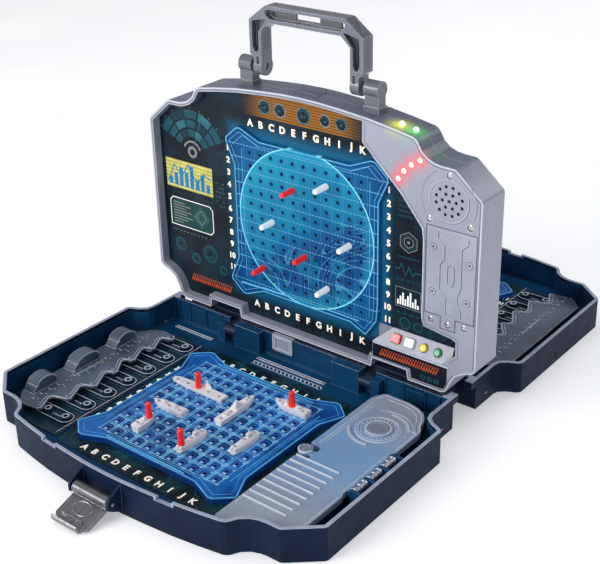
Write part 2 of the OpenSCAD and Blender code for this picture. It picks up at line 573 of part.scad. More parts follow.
// latch drawn hanging open, its tip just above the table; the plate lies on the barrel's outer side
LANG = 18;
module latch() {
  w = latch_w / 2;
  translate([latch_x, LPY, LPZ]) rotate([LANG, 0, 0]) difference() {
    union() {
      cx(0, 0, 5.8, -w, w, 40);
      yz(-w, w) polygon([[0, -5.8], [-5, -5.8], [-5, -2.9], [-2, -1], [0, -1]]);
      // plate with a rounded free end
      translate([0, 0, -5.8]) linear_extrude(height = latch_t) polygon([[-w, -1], [-w, -27], [-w + 2, -29.6], [-w + 7, -31.8], [w - 7, -31.8], [w - 2, -29.6], [w, -27], [w, -1]]);
      // curled hook lip
      yz(-w + 5, w - 5) polygon([[-29, -5.8], [-32.6, -5.6], [-34.9, -4], [-35.9, -1], [-35.6, 3.4], [-34, 4.6], [-33.2, 3], [-33.4, -1], [-32.4, -2.8], [-29, -3.3]]);
      // stiffening bar and raised oval
      yz(-w + 7, w - 9) polygon([[-24.2, -3.4], [-26.6, -3.4], [-26.2, -0.9], [-24.8, -0.9]]);
      difference() {
        translate([0, -14, -3.5]) scale([1.5, 1, 1]) cylinder(r = 7.4, h = 1.1, $fn = 40);
        translate([0, -14, -4]) scale([1.5, 1, 1]) cylinder(r = 6.3, h = 4, $fn = 40);
      }
    }
    cx(0, 0, 1.55, -w - 2, w + 2, 24);
  }
}
module front_latch() { color([0.42, 0.43, 0.46]) latch(); }
module rear_latch() { color([0.42, 0.43, 0.46]) turn() latch(); }
module latch_pin() { cx(LPY, LPZ, 1.5, latch_x - 25, latch_x + 25, 24); }
module front_latch_pin() { color([0.6, 0.6, 0.62]) latch_pin(); }
module rear_latch_pin() { color([0.6, 0.6, 0.62]) turn() latch_pin(); }

// U-shaped clip over the middle of the back wall
module wall_clip() {
  difference() {
    union() {
      yz(-35, -9) polygon([[CLY, 15], [CLY, RIM - 0.68], [-20.8, RIM - 0.68], [-20.8, RIM], [CLY - 2.05, RIM], [CLY - 2.05, 15]]);
    }
    yz(-31.5, -12.5) polygon([[-27, 18], [-25.5, 18], [-25.5, 31], [-27, 31]]);
    xz(-27, -24) polygon([[-36, 14], [-32, 14], [-36, 18]]);
    xz(-27, -24) polygon([[-8, 14], [-8, 18], [-12, 14]]);
  }
}
module front_wall_clip() { color([0.45, 0.47, 0.55]) wall_clip(); }
module rear_wall_clip() { color([0.45, 0.47, 0.55]) turn() wall_clip(); }

// ---------- ships, each drawn along X with its stern hole at x = 0 and its bow at +X ----------
ST = ocean_top + 0.05;
// deck outline: n holes, half width w, sharpness b of the bow (1 blunt, 0 sharp)
module deck_plan(n, w, b) {
  L = (n - 1) * pitch;
  q = [[-5.8, w * 0.86], [-4.6, w], [L * 0.5, w], [L - 5, w * 0.96], [L - 1, w * (0.76 + 0.1 * b)], [L + 2.4, w * (0.48 + 0.2 * b)], [L + 5, w * (0.18 + 0.3 * b)], [L + 6.2, w * 0.2 * b + 0.25]];
  polygon(concat(q, [for (i = [len(q) - 1:-1:0]) [q[i][0], -q[i][1]]]));
}
module peg_holes(n, z) { for (i = [0:n - 1]) translate([i * pitch, 0, z]) cylinder(r = hole_r, h = 40, $fn = 20); }
// stems that plug into the grid
module stems(n) { for (i = [0, n - 1]) translate([i * pitch, 0, -4]) cylinder(r = hole_r - 0.1, h = 4.2, $fn = 20); }
module ship_base(n, w, h, b) {
  difference() {
    union() {
      // flared hull below a straight deck edge
      hull() {
        linear_extrude(height = 0.4) scale([0.93, 0.74]) deck_plan(n, w, b);
        translate([0, 0, h - 2]) linear_extrude(height = 0.4) deck_plan(n, w, b);
      }
      translate([0, 0, h - 1.7]) linear_extrude(height = 1.7) deck_plan(n, w, b);
      children();
    }
    peg_holes(n, h - 4.2);
  }
  stems(n);
}
// places a ship: column and row of its stern hole, quarter turns from +X
module place(c, r, d) {
  translate([(c - 5) * pitch, GY + (5 - r) * pitch, ST]) rotate([0, 0, d * 90]) children();
}
module carrier_ship() {
  L = 4 * pitch;
  color([0.80, 0.78, 0.78]) place(4, 3, 2) {
    difference() {
      union() {
        // overhanging flight deck on a narrow hull
        translate([0, 0, 3.8]) linear_extrude(height = 1.8) polygon([[-6.2, -5.6], [30, -5.8], [44, -5.4], [L + 2, -4], [L + 6.2, -1.4], [L + 6.2, 2.2], [L + 2.6, 4.4], [44, 5.2], [20, 5.8], [-6.2, 5.6]]);
        hull() {
          linear_extrude(height = 0.4) polygon([[-2.6, -2.4], [44, -2.4], [L + 3, -0.4], [L + 3, 0.4], [44, 2.4], [-2.6, 2.4]]);
          translate([0, 0, 3.6]) linear_extrude(height = 0.4) polygon([[-3.6, -3.8], [44, -3.8], [L + 4.6, -0.8], [L + 4.6, 0.8], [44, 3.8], [-3.6, 3.8]]);
        }
        for (y = [-4.8, -2.6, 2.6, 4.8]) box([-5.6, y - 0.45, 0.2], [-4.7, y + 0.45, 4]);
        // stepped island on the far side
        box([14.4, -5.6, 5.4], [23.2, -3.85, 7.8]);
        box([16, -5.5, 7.6], [22.4, -3.95, 9.8]);
        box([18, -5.3, 9.6], [21, -4.1, 11.6]);
      }
      peg_holes(5, 1.6);
    }
    stems(5);
  }
}
module gun_ship() {
  color([0.80, 0.78, 0.78]) place(3, 6, 2) ship_base(3, 5.2, 6, 0.3) {
    box([4.2, -2.4, 5.8], [9.4, 2.4, 7.4]);
    translate([20.4, 0, 5.8]) cylinder(r = 2.4, h = 1.7, $fn = 20);
  }
}
module patrol_boat() {
  color([0.80, 0.78, 0.78]) place(2, 9, 1) ship_base(2, 5.3, 7, 0.4) {
    translate([0, 0, 6.8]) cylinder(r = 3.8, h = 1.4, $fn = 28);
    intersection() { translate([0, 0, 6.8]) linear_extrude(height = 2) deck_plan(2, 5.3, 0.4); box([17.4, -6, 6.8], [22, 6, 8.8]); }
  }
}
module destroyer_ship() {
  color([0.80, 0.78, 0.78]) place(6, 5, 1) ship_base(4, 5, 6, 0) {
    // raised foredeck, bridge tower and after deckhouse
    intersection() { translate([0, 0, 5.8]) linear_extrude(height = 1.5) scale([1, 0.82]) deck_plan(4, 5, 0); box([16.6, -6, 5.8], [50, 6, 7.3]); }
    box([16.8, -2.8, 7.1], [24.6, 2.8, 9.6]);
    box([18.4, -2, 9.4], [23, 2, 11.8]);
    box([4, -2.2, 5.8], [10, 2.2, 7.6]);
  }
}
module sub_body(n) {
  difference() {
    union() {
      // body: plan, side and cross section together
      intersection() {
        linear_extrude(height = 7) polygon([[-5.4, -1.8], [-4, -3.2], [0, -4.1], [7, -4.8], [21, -4.9], [27, -4.6], [30.6, -3.4], [32.4, -1.7], [32.8, 0], [32.4, 1.7], [30.6, 3.4], [27, 4.6], [21, 4.9], [7, 4.8], [0, 4.1], [-4, 3.2], [-5.4, 1.8]]);
        yz(-10, 40) polygon([[-5, 0], [-5, 2.6], [-4.4, 4.3], [-3.2, 5.5], [-1.6, 6.2], [1.6, 6.2], [3.2, 5.5], [4.4, 4.3], [5, 2.6], [5, 0]]);
        xz(-8, 8) polygon([[-5.4, 0], [-5.4, 4.4], [-3.2, 5.8], [-1.6, 6.2], [28.6, 6.2], [31, 5.4], [32.4, 3.8], [32.8, 2], [32.2, 0]]);
      }
      // tail planes and conning tower
      box([-5.8, -4.6, 1.6], [-3.2, 4.6, 2.7]);
      box([-5.8, -0.55, 0.3], [-3.4, 0.55, 6.6]);
      translate([0, 0, 5.6]) linear_extrude(height = 4) polygon([[16, -1.2], [17, -1.9], [21.2, -1.9], [22.4, -0.7], [22.4, 0.7], [21.2, 1.9], [17, 1.9], [16, 1.2]]);
    }
    peg_holes(n, 2);
  }
  stems(n);
}
module submarine_one() { color([0.80, 0.78, 0.78]) place(6, 9, 1) sub_body(3); }
module submarine_two() { color([0.80, 0.78, 0.78]) place(9, 7, 1) sub_body(3); }
module cruiser_ship() {
  color([0.80, 0.78, 0.78]) place(10, 1, 2) ship_base(3, 5.2, 6.4, 0.1) {
    intersection() { translate([0, 0, 6.2]) linear_extrude(height = 1.3) scale([1, 0.9]) deck_plan(3, 5.2, 0.1); box([23, -6, 6.2], [36, 6, 7.5]); }
    translate([6.4, 0, 6.2]) cylinder(r = 2.7, h = 2, $fn = 24);
    box([17.2, -2.2, 6.2], [21.6, 2.2, 8]);
  }
}
module carrier_peg() { color([0.88, 0.12, 0.08]) place(2, 3, 0) translate([0, 0, 5.6]) peg(ship_peg_out + 1.1, 4); }
module patrol_peg() { color([0.88, 0.12, 0.08]) place(2, 8, 0) translate([0, 0, 7]) peg(ship_peg_out - 0.2, 4); }
module submarine_peg() { color([0.88, 0.12, 0.08]) place(6, 9, 0) translate([0, 0, 6.2]) peg(ship_peg_out + 0.5, 4); }
module cruiser_peg() { color([0.88, 0.12, 0.08]) place(9, 1, 0) translate([0, 0, 6.4]) peg(ship_peg_out + 0.3, 4); }

front_shell();
rear_shell();
hinge_spine();
front_art_card();
rear_art_card();
front_target_grid();
rear_target_grid();
front_battery_cover();
rear_battery_cover();
case_screws();
speakers();
batteries();
circuit_board();
signal_leds();
top_led_yellow();
top_led_green();
handle_brackets();
front_red_target_pegs();
front_white_target_pegs();
handle();
front_red_button();
front_white_button();
front_yellow_button();
front_green_button();
rear_red_button();
rear_white_button();
rear_yellow_button();
rear_green_button();
front_tray_shell();
rear_tray_shell();
front_ocean_grid();
rear_ocean_grid();
front_ocean_card();
rear_ocean_card();
front_ship_rack();
rear_ship_rack();
front_dock_plate();
rear_dock_plate();
front_deck_lid();
rear_deck_lid();
front_hinge_pins();
rear_hinge_pins();
front_latch();
rear_latch();
front_latch_pin();
rear_latch_pin();
front_wall_clip();
rear_wall_clip();
carrier_ship();
gun_ship();
patrol_boat();
destroyer_ship();
submarine_one();
submarine_two();
cruiser_ship();
carrier_peg();
patrol_peg();
submarine_peg();
cruiser_peg();
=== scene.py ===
# Looks of the fleet guessing case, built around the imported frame. Lengths are written in millimetres and scaled to metres.
import bpy
import bmesh
import math
from mathutils import Matrix, Vector


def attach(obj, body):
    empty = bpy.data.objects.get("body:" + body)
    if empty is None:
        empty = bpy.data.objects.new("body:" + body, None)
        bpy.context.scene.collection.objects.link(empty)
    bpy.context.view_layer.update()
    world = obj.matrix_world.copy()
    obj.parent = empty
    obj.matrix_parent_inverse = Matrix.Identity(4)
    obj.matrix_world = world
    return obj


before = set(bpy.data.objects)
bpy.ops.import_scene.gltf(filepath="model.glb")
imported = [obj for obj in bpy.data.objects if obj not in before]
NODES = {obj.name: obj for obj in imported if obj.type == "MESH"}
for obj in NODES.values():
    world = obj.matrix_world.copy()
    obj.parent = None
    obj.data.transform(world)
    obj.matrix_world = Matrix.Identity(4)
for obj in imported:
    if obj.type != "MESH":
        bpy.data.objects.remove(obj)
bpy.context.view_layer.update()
MM = 0.001
SIDES = (("front", 1), ("rear", -1))


# ------------------------------------------------------------------ node graph helper
class Graph:
    def __init__(self, name):
        self.m = bpy.data.materials.new(name)
        self.m.use_nodes = True
        nt = self.nt = self.m.node_tree
        nt.nodes.clear()
        self.out = nt.nodes.new("ShaderNodeOutputMaterial")
        self.b = nt.nodes.new("ShaderNodeBsdfPrincipled")
        nt.links.new(self.b.outputs["BSDF"], self.out.inputs["Surface"])
        tc = nt.nodes.new("ShaderNodeTexCoord")
        self.P = tc.outputs["Object"]
        s = nt.nodes.new("ShaderNodeSeparateXYZ")
        nt.links.new(self.P, s.inputs[0])
        self.X, self.Y, self.Z = s.outputs[0], s.outputs[1], s.outputs[2]

    def put(self, sock, v):
        if isinstance(v, bpy.types.NodeSocket):
            self.nt.links.new(v, sock)
        elif isinstance(v, (tuple, list)):
            if len(sock.default_value) == 4 and len(v) == 3:
                v = tuple(v) + (1.0,)
            sock.default_value = v
        else:
            sock.default_value = v

    def math(self, op, a, b=0.0, c=0.0, clamp=False):
        n = self.nt.nodes.new("ShaderNodeMath")
        n.operation = op
        n.use_clamp = clamp
        self.put(n.inputs[0], a)
        self.put(n.inputs[1], b)
        self.put(n.inputs[2], c)
        return n.outputs[0]

    def add(self, a, b):
        return self.math("ADD", a, b)

    def sub(self, a, b):
        return self.math("SUBTRACT", a, b)

    def mul(self, a, b, clamp=False):
        return self.math("MULTIPLY", a, b, clamp=clamp)

    def absv(self, a):
        return self.math("ABSOLUTE", a)

    def maxv(self, a, b):
        return self.math("MAXIMUM", a, b)

    def minv(self, a, b):
        return self.math("MINIMUM", a, b)

    def ramp(self, v, lo, hi, a=0.0, b=1.0, smooth=True):
        n = self.nt.nodes.new("ShaderNodeMapRange")
        n.interpolation_type = "SMOOTHSTEP" if smooth else "LINEAR"
        n.clamp = True
        self.put(n.inputs[0], v)
        self.put(n.inputs[1], lo)
        self.put(n.inputs[2], hi)
        self.put(n.inputs[3], a)
        self.put(n.inputs[4], b)
        return n.outputs[0]

    def noise(self, scale, detail=2.0, rough=0.5, dist=0.0, vec=None):
        n = self.nt.nodes.new("ShaderNodeTexNoise")
        n.inputs["Scale"].default_value = scale
        n.inputs["Detail"].default_value = detail
        n.inputs["Roughness"].default_value = rough
        n.inputs["Distortion"].default_value = dist
        self.put(n.inputs["Vector"], vec if vec is not None else self.P)
        return n.outputs[0]

    def scaled(self, sx, sy, sz):
        n = self.nt.nodes.new("ShaderNodeVectorMath")
        n.operation = "MULTIPLY"
        self.put(n.inputs[0], self.P)
        n.inputs[1].default_value = (sx, sy, sz)
        return n.outputs[0]

    def dist(self, p):
        n = self.nt.nodes.new("ShaderNodeVectorMath")
        n.operation = "DISTANCE"
        self.put(n.inputs[0], self.P)
        n.inputs[1].default_value = tuple(q * MM for q in p)
        return n.outputs["Value"]

    def mix(self, f, a, b, kind="MIX"):
        n = self.nt.nodes.new("ShaderNodeMix")
        n.data_type = "RGBA"
        n.blend_type = kind
        n.clamp_factor = True
        self.put(n.inputs[0], f)
        self.put(n.inputs[6], a)
        self.put(n.inputs[7], b)
        return n.outputs[2]

    # distance from the nearest line of a family of parallel lines, in metres
    def lines(self, v, pitch, phase=0.0):
        t = self.math("DIVIDE", self.sub(v, phase), pitch)
        f = self.sub(self.math("FRACT", self.add(t, 0.5)), 0.5)
        return self.mul(self.absv(f), pitch)

    def bevel(self, radius):
        n = self.nt.nodes.new("ShaderNodeBevel")
        n.samples = 4
        n.inputs["Radius"].default_value = radius
        return n.outputs[0]

    def edge(self, bev):
        geo = self.nt.nodes.new("ShaderNodeNewGeometry")
        d = self.nt.nodes.new("ShaderNodeVectorMath")
        d.operation = "DOT_PRODUCT"
        self.put(d.inputs[0], bev)
        self.put(d.inputs[1], geo.outputs["Normal"])
        return self.ramp(self.sub(1.0, d.outputs["Value"]), 0.01, 0.16)

    def bump(self, h, strength, distance, normal=None):
        n = self.nt.nodes.new("ShaderNodeBump")
        n.inputs["Strength"].default_value = strength
        n.inputs["Distance"].default_value = distance
        self.put(n.inputs["Height"], h)
        if normal is not None:
            self.put(n.inputs["Normal"], normal)
        return n.outputs[0]


def shade(c, k):
    return tuple(min(1.0, q * k) for q in c)


def finish_mat(g, base, rough, grain=1300, grain_amt=0.12, rvar=0.07, painted_edge_col=None, painted_edge_amt=0.0, bev=0.6, coat=0.0, metal=0.0, spec=0.5, emit=None, emit_k=1.0, extra_h=None, extra_k=0.0003):
    """Common tail: painted highlight on rounded edges (a lighter colour there, broken up by noise), roughness
    variation, fine grain bump and rounded shading normals.
    """
    nrm = g.bevel(bev * MM) if bev else None
    if painted_edge_col is not None and nrm is not None:
        # painted highlight: edges found from the bevel normal get the edge colour, broken up by noise
        painted_edge = g.mul(g.edge(nrm), g.ramp(g.noise(90, 3.0), 0.25, 0.6, 0.55, 1.0))
        base = g.mix(g.mul(painted_edge, painted_edge_amt), base, painted_edge_col)
    g.put(g.b.inputs["Base Color"], base)
    r = g.ramp(g.noise(70, 4.0, 0.6), 0.25, 0.75, rough - rvar, rough + rvar)
    g.put(g.b.inputs["Roughness"], r)
    n = g.bump(g.noise(grain, 2.0), grain_amt, 0.00025, nrm)
    if extra_h is not None:
        n = g.bump(extra_h, 1.0, extra_k, n)
    g.put(g.b.inputs["Normal"], n)
    g.b.inputs["Metallic"].default_value = metal
    g.b.inputs["Specular IOR Level"].default_value = spec
    g.b.inputs["Coat Weight"].default_value = coat
    g.b.inputs["Coat Roughness"].default_value = 0.12
    if emit is not None:
        g.put(g.b.inputs["Emission Color"], emit)
        g.b.inputs["Emission Strength"].default_value = emit_k
    return g.m


def plastic(name, col, rough=0.4, var=0.09, painted_edge_col=None, painted_edge_amt=0.5, custom=None, **kw):
    g = Graph(name)
    base = g.mix(g.ramp(g.noise(26, 3.0), 0.3, 0.7), shade(col, 1 - var), shade(col, 1 + var))
    fine = g.ramp(g.noise(420, 3.0), 0.3, 0.7)
    base = g.mix(g.mul(fine, 0.25), base, shade(col, 0.86))
    if custom:
        base = custom(g, base)
    # colour of the painted highlight on edges; by default a lighter copy of the base colour
    if callable(painted_edge_col):
        painted_edge_col = painted_edge_col(g)
    return finish_mat(g, base, rough, painted_edge_col=painted_edge_col or shade(col, 1.7), painted_edge_amt=painted_edge_amt, **kw)


# ------------------------------------------------------------------ mesh helper
PLANES = {"xz": lambda p, h: (p[0], h, p[1]), "xy": lambda p, h: (p[0], p[1], h), "yz": lambda p, h: (h, p[0], p[1])}


class Batch:
    """Gathers small solids of one material and one body into one object. With turned=True it is drawn for the second player."""

    def __init__(self, name, mat, body, slot=None, turned=False):
        self.name, self.mat, self.body, self.slot, self.turned = name, mat, body, slot, turned
        self.v, self.f = [], []

    def prism(self, pts, plane, a, b):
        n, base, to = len(pts), len(self.v), PLANES[plane]
        for h in (a, b):
            self.v += [to(p, h) for p in pts]
        self.f.append([base + i for i in range(n)][::-1])
        self.f.append([base + n + i for i in range(n)])
        self.f += [[base + i, base + (i + 1) % n, base + n + (i + 1) % n, base + n + i] for i in range(n)]

    def frustum(self, pts0, pts1, plane, a, b):
        n, base, to = len(pts0), len(self.v), PLANES[plane]
        self.v += [to(p, a) for p in pts0] + [to(p, b) for p in pts1]
        self.f.append([base + i for i in range(n)][::-1])
        self.f.append([base + n + i for i in range(n)])
        self.f += [[base + i, base + (i + 1) % n, base + n + (i + 1) % n, base + n + i] for i in range(n)]

    def rect(self, x0, z0, x1, z1, plane, a, b):
        self.prism([(x0, z0), (x1, z0), (x1, z1), (x0, z1)], plane, a, b)

    def box(self, lo, hi):
        self.rect(lo[0], lo[1], hi[0], hi[1], "xy", lo[2], hi[2])

    def disc(self, c, r, plane, a, b, n=32, sx=1.0):
        self.prism([(c[0] + sx * r * math.cos(2 * math.pi * i / n), c[1] + r * math.sin(2 * math.pi * i / n)) for i in range(n)], plane, a, b)

    def ring(self, c, r0, r1, plane, a, b, a0=0.0, a1=360.0, n=40, sx=1.0):
        full = a1 - a0 >= 359.9
        k = max(3, int(n * (a1 - a0) / 360))
        ang = [math.radians(a0 + (a1 - a0) * i / k) for i in range(k if full else k + 1)]
        base, to = len(self.v), PLANES[plane]
        for t in ang:
            co, si = math.cos(t), math.sin(t)
            for r, h in ((r0, a), (r1, a), (r1, b), (r0, b)):
                self.v.append(to((c[0] + sx * r * co, c[1] + r * si), h))
        m = len(ang)
        for i in range(m if full else m - 1):
            j = (i + 1) % m
            for q in range(4):
                self.f.append([base + 4 * i + q, base + 4 * j + q, base + 4 * j + (q + 1) % 4, base + 4 * i + (q + 1) % 4])
        if not full:
            self.f.append([base + q for q in range(4)][::-1])
            self.f.append([base + 4 * (m - 1) + q for q in range(4)])

    def path(self, pts, w, plane, a, b, closed=False):
        """A mitred ribbon of width w along pts."""
        n = len(pts)
        left, right = [], []
        for i, p in enumerate(pts):
            q0 = pts[i - 1] if (closed or i > 0) else None
            q1 = pts[(i + 1) % n] if (closed or i < n - 1) else None

            def nv(u, v):
                d = math.hypot(v[0] - u[0], v[1] - u[1]) or 1.0
                return (-(v[1] - u[1]) / d, (v[0] - u[0]) / d)
            n0 = nv(q0, p) if q0 else None
            n1 = nv(p, q1) if q1 else None
            if n0 and n1:
                k = 1 + n0[0] * n1[0] + n0[1] * n1[1]
                k = max(k, 0.35)
                m = ((n0[0] + n1[0]) / k, (n0[1] + n1[1]) / k)
            else:
                m = n0 or n1
            left.append((p[0] + m[0] * w / 2, p[1] + m[1] * w / 2))
            right.append((p[0] - m[0] * w / 2, p[1] - m[1] * w / 2))
        base, to = len(self.v), PLANES[plane]
        for l, r in zip(left, right):
            self.v += [to(l, a), to(r, a), to(r, b), to(l, b)]
        for i in range(n if closed else n - 1):
            j = (i + 1) % n
            for q in range(4):
                self.f.append([base + 4 * i + q, base + 4 * j + q, base + 4 * j + (q + 1) % 4, base + 4 * i + (q + 1) % 4])
        if not closed:
            self.f.append([base + q for q in range(4)][::-1])
            self.f.append([base + 4 * (n - 1) + q for q in range(4)])

    def lathe(self, c, axis, prof, n=28):
        """prof: (radius, position along axis) pairs from one end to the other; closed at both ends."""
        base = len(self.v)
        for r, h in prof:
            for i in range(n):
                t = 2 * math.pi * i / n
                u, w = r * math.cos(t), r * math.sin(t)
                self.v.append({"x": (c[0] + h, c[1] + u, c[2] + w), "y": (c[0] + u, c[1] + h, c[2] + w), "z": (c[0] + u, c[1] + w, c[2] + h)}[axis])
        for k in range(len(prof) - 1):
            for i in range(n):
                j = (i + 1) % n
                self.f.append([base + k * n + i, base + k * n + j, base + (k + 1) * n + j, base + (k + 1) * n + i])
        self.f.append([base + i for i in range(n)][::-1])
        self.f.append([base + (len(prof) - 1) * n + i for i in range(n)])

    def mesh(self, verts, faces):
        base = len(self.v)
        self.v += verts
        self.f += [[base + i for i in f] for f in faces]

    def done(self, smooth=None, bevel=0.0):
        if not self.v:
            return None
        s = -1 if self.turned else 1
        me = bpy.data.meshes.new(self.name)
        me.from_pydata([(x * MM * s, y * MM * s, z * MM) for x, y, z in self.v], [], self.f)
        bm = bmesh.new()
        bm.from_mesh(me)
        bmesh.ops.recalc_face_normals(bm, faces=bm.faces)
        bm.to_mesh(me)
        bm.free()
        me.validate()
        me.update()
        o = bpy.data.objects.new(self.name, me)
        bpy.context.scene.collection.objects.link(o)
        me.materials.append(self.mat)
        if smooth:
            for p in me.polygons:
                p.use_smooth = True
            me.set_sharp_from_angle(angle=math.radians(smooth))
        if bevel:
            b = o.modifiers.new("round", "BEVEL")
            b.width = bevel * MM
            b.segments = 2
            b.limit_method = "ANGLE"
            b.angle_limit = math.radians(40)
        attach(o, self.body)
        return o


_glyphs = {}


def glyph(ch, weight=0.022):
    """Flat outline mesh of a letter or number from Blender's own font, centred, one unit tall in em."""
    key = (ch, weight)
    if key not in _glyphs:
        cu = bpy.data.curves.new("glyph", "FONT")
        cu.body = ch
        cu.size = 1.0
        cu.align_x = "CENTER"
        cu.offset = weight
        cu.extrude = 0.02
        cu.resolution_u = 4
        ob = bpy.data.objects.new("glyph", cu)
        bpy.context.scene.collection.objects.link(ob)
        bpy.context.view_layer.update()
        dg = bpy.context.evaluated_depsgraph_get()
        me = bpy.data.meshes.new_from_object(ob.evaluated_get(dg))
        bm = bmesh.new()
        bm.from_mesh(me)
        bmesh.ops.remove_doubles(bm, verts=bm.verts, dist=1e-5)
        zs = [v.co.y for v in bm.verts]
        xs = [v.co.x for v in bm.verts]
        cy, cx = (min(zs) + max(zs)) / 2, (min(xs) + max(xs)) / 2
        _glyphs[key] = ([(v.co.x - cx, v.co.y - cy, 1 if v.co.z > 0 else 0) for v in bm.verts], [[v.index for v in f.verts] for f in bm.faces])
        bm.free()
        bpy.data.objects.remove(ob)
        bpy.data.meshes.remove(me)
        bpy.data.curves.remove(cu)
    return _glyphs[key]


def letter(batch, ch, at, size, plane, a, b, weight=0.022):
    vs, fs = glyph(ch, weight)
    to = PLANES[plane]
    batch.mesh([to((at[0] + x * size, at[1] + y * size), b if top else a) for x, y, top in vs], fs)


# ------------------------------------------------------------------ shared outlines
UPPER = [(200, 67), (200, 233), (198.5, 235.6), (173, 257.4), (170.5, 258.6), (157, 258.9), (151, 259.8), (143.5, 262.6), (137, 268), (133, 275), (130.6, 277.8), (127, 279.4), (104, 283.4), (78, 287.2), (46, 290), (21, 291.6)]
LOWER = [(84, 33), (86, 43), (125, 43), (127, 33), (165, 33), (169, 35), (171.6, 39), (174, 46), (179, 54.4), (187.5, 60), (197, 63.6)]
CONSOLE = LOWER + UPPER + [(0, 292)] + [(-x, z) for x, z in reversed(UPPER)] + [(-x, z) for x, z in reversed(LOWER)]
TRAY = [(180, 20.9), (180, 56), (181.6, 61.4), (187.5, 66.6), (197, 71)] + [(x, z + 7.6) for x, z in UPPER]
TRAY = TRAY + [(0, 299.6)] + [(-x, z) for x, z in reversed(TRAY)]
TRAY = [(x, -y) for x, y in TRAY]
GRID_Q = [(55, 82.5), (79, 92.5), (84, 92), (99, 79), (99, 75), (88.5, 52)]
PITCH, GZ, GY = 13.6, 153.0, -159.5


def inset(pts, d):
    """Moves a closed outline inwards by d, whichever way it runs."""
    n = len(pts)
    area = sum(pts[i][0] * pts[(i + 1) % n][1] - pts[(i + 1) % n][0] * pts[i][1] for i in range(n))
    s = 1 if area > 0 else -1
    out = []
    for i in range(n):
        a, b, c = pts[i - 1], pts[i], pts[(i + 1) % n]

        def nv(u, v):
            L = math.hypot(v[0] - u[0], v[1] - u[1]) or 1.0
            return (-s * (v[1] - u[1]) / L, s * (v[0] - u[0]) / L)
        n0, n1 = nv(a, b), nv(b, c)
        k = max(0.3, 1 + n0[0] * n1[0] + n0[1] * n1[1])
        out.append((b[0] + d * (n0[0] + n1[0]) / k, b[1] + d * (n0[1] + n1[1]) / k))
    return out


def grid_outline(cut):
    q = GRID_Q
    br = [(55, -82.5), (74, -91), (87, -72), (88.5, -52)] if cut else [(x, -z) for x, z in q]
    return q[::-1] + [(-x, z) for x, z in q] + [(-x, -z) for x, z in q[::-1]] + br


# ------------------------------------------------------------------ materials
LEDS = [(112.5, 237), (118.3, 245.5), (126, 253), (135.2, 259)]


def glow_sum(g, points, radius):
    total = None
    for p in points:
        v = g.ramp(g.dist(p), 0.0, radius * MM, 1.0, 0.0, smooth=False)
        v = g.math("POWER", v, 2.6)
        total = v if total is None else g.maxv(total, v)
    return total


def console_mat(name, s):
    reds = [(x * s, -18.4 * s, z) for x, z in LEDS]
    painted_glow = {}

    def custom(g, base):
        # printed seams; painted shade on the outer side and top walls, much darker on their upper part
        seam = g.ramp(g.absv(g.sub(g.absv(g.X), 80 * MM)), 0.00025, 0.0006, 1.0, 0.0)
        seam = g.mul(seam, g.ramp(g.Z, 0.2868, 0.2871))
        base = g.mix(seam, base, (0.07, 0.07, 0.09))
        skin = g.ramp(g.absv(g.Y), 0.0176, 0.0180, 1.0, 0.0)
        high = g.mul(skin, g.ramp(g.Z, 0.236, 0.266))
        base = g.mix(g.mul(skin, 0.28), base, (0.20, 0.21, 0.27))
        base = g.mix(g.mul(high, 0.90), base, (0.078, 0.094, 0.150))
        # painted glow: the face around the red LEDs and the top around the yellow and green LEDs are tinted and given
        # emission; a faint green tint further back
        red = glow_sum(g, reds, 17)
        base = g.mix(g.mul(red, 1.0), base, (0.75, 0.03, 0.02))
        yel = glow_sum(g, [(107, -8, 285.5)], 22)
        grn = glow_sum(g, [(122, -8, 283)], 22)
        far = glow_sum(g, [(146, -6, 262)], 26)
        base = g.mix(yel, base, (0.85, 0.80, 0.05))
        base = g.mix(grn, base, (0.10, 0.62, 0.10))
        base = g.mix(g.mul(far, 0.30), base, (0.08, 0.40, 0.13))
        em = g.mix(red, (0, 0, 0), (1.0, 0.03, 0.02))
        em = g.mix(yel, em, (1.0, 0.95, 0.10))
        em = g.mix(grn, em, (0.10, 0.85, 0.12))
        painted_glow["em"] = em
        return base

    g = Graph(name)
    col = (0.335, 0.35, 0.43)
    base = g.mix(g.ramp(g.noise(22, 3.0), 0.3, 0.7), shade(col, 0.94), shade(col, 1.06))
    base = g.mix(g.mul(g.ramp(g.noise(520, 3.0), 0.3, 0.7), 0.22), base, shade(col, 0.88))
    base = custom(g, base)
    # painted highlight: light colour on the case's edges; the edges of the small rib on top get a dark colour instead
    rib = g.mul(g.mul(g.ramp(g.absv(g.X), 0.0150, 0.0160, 1.0, 0.0), g.ramp(g.absv(g.Y), 0.0078, 0.0082, 1.0, 0.0)), g.ramp(g.Z, 0.2885, 0.2890))
    edge = g.mix(rib, (0.82, 0.84, 0.90), (0.14, 0.16, 0.21))
    return finish_mat(g, base, 0.36, painted_edge_col=edge, painted_edge_amt=0.75, bev=0.8, grain=1500, grain_amt=0.16, coat=0.12, emit=painted_glow["em"], emit_k=0.55)


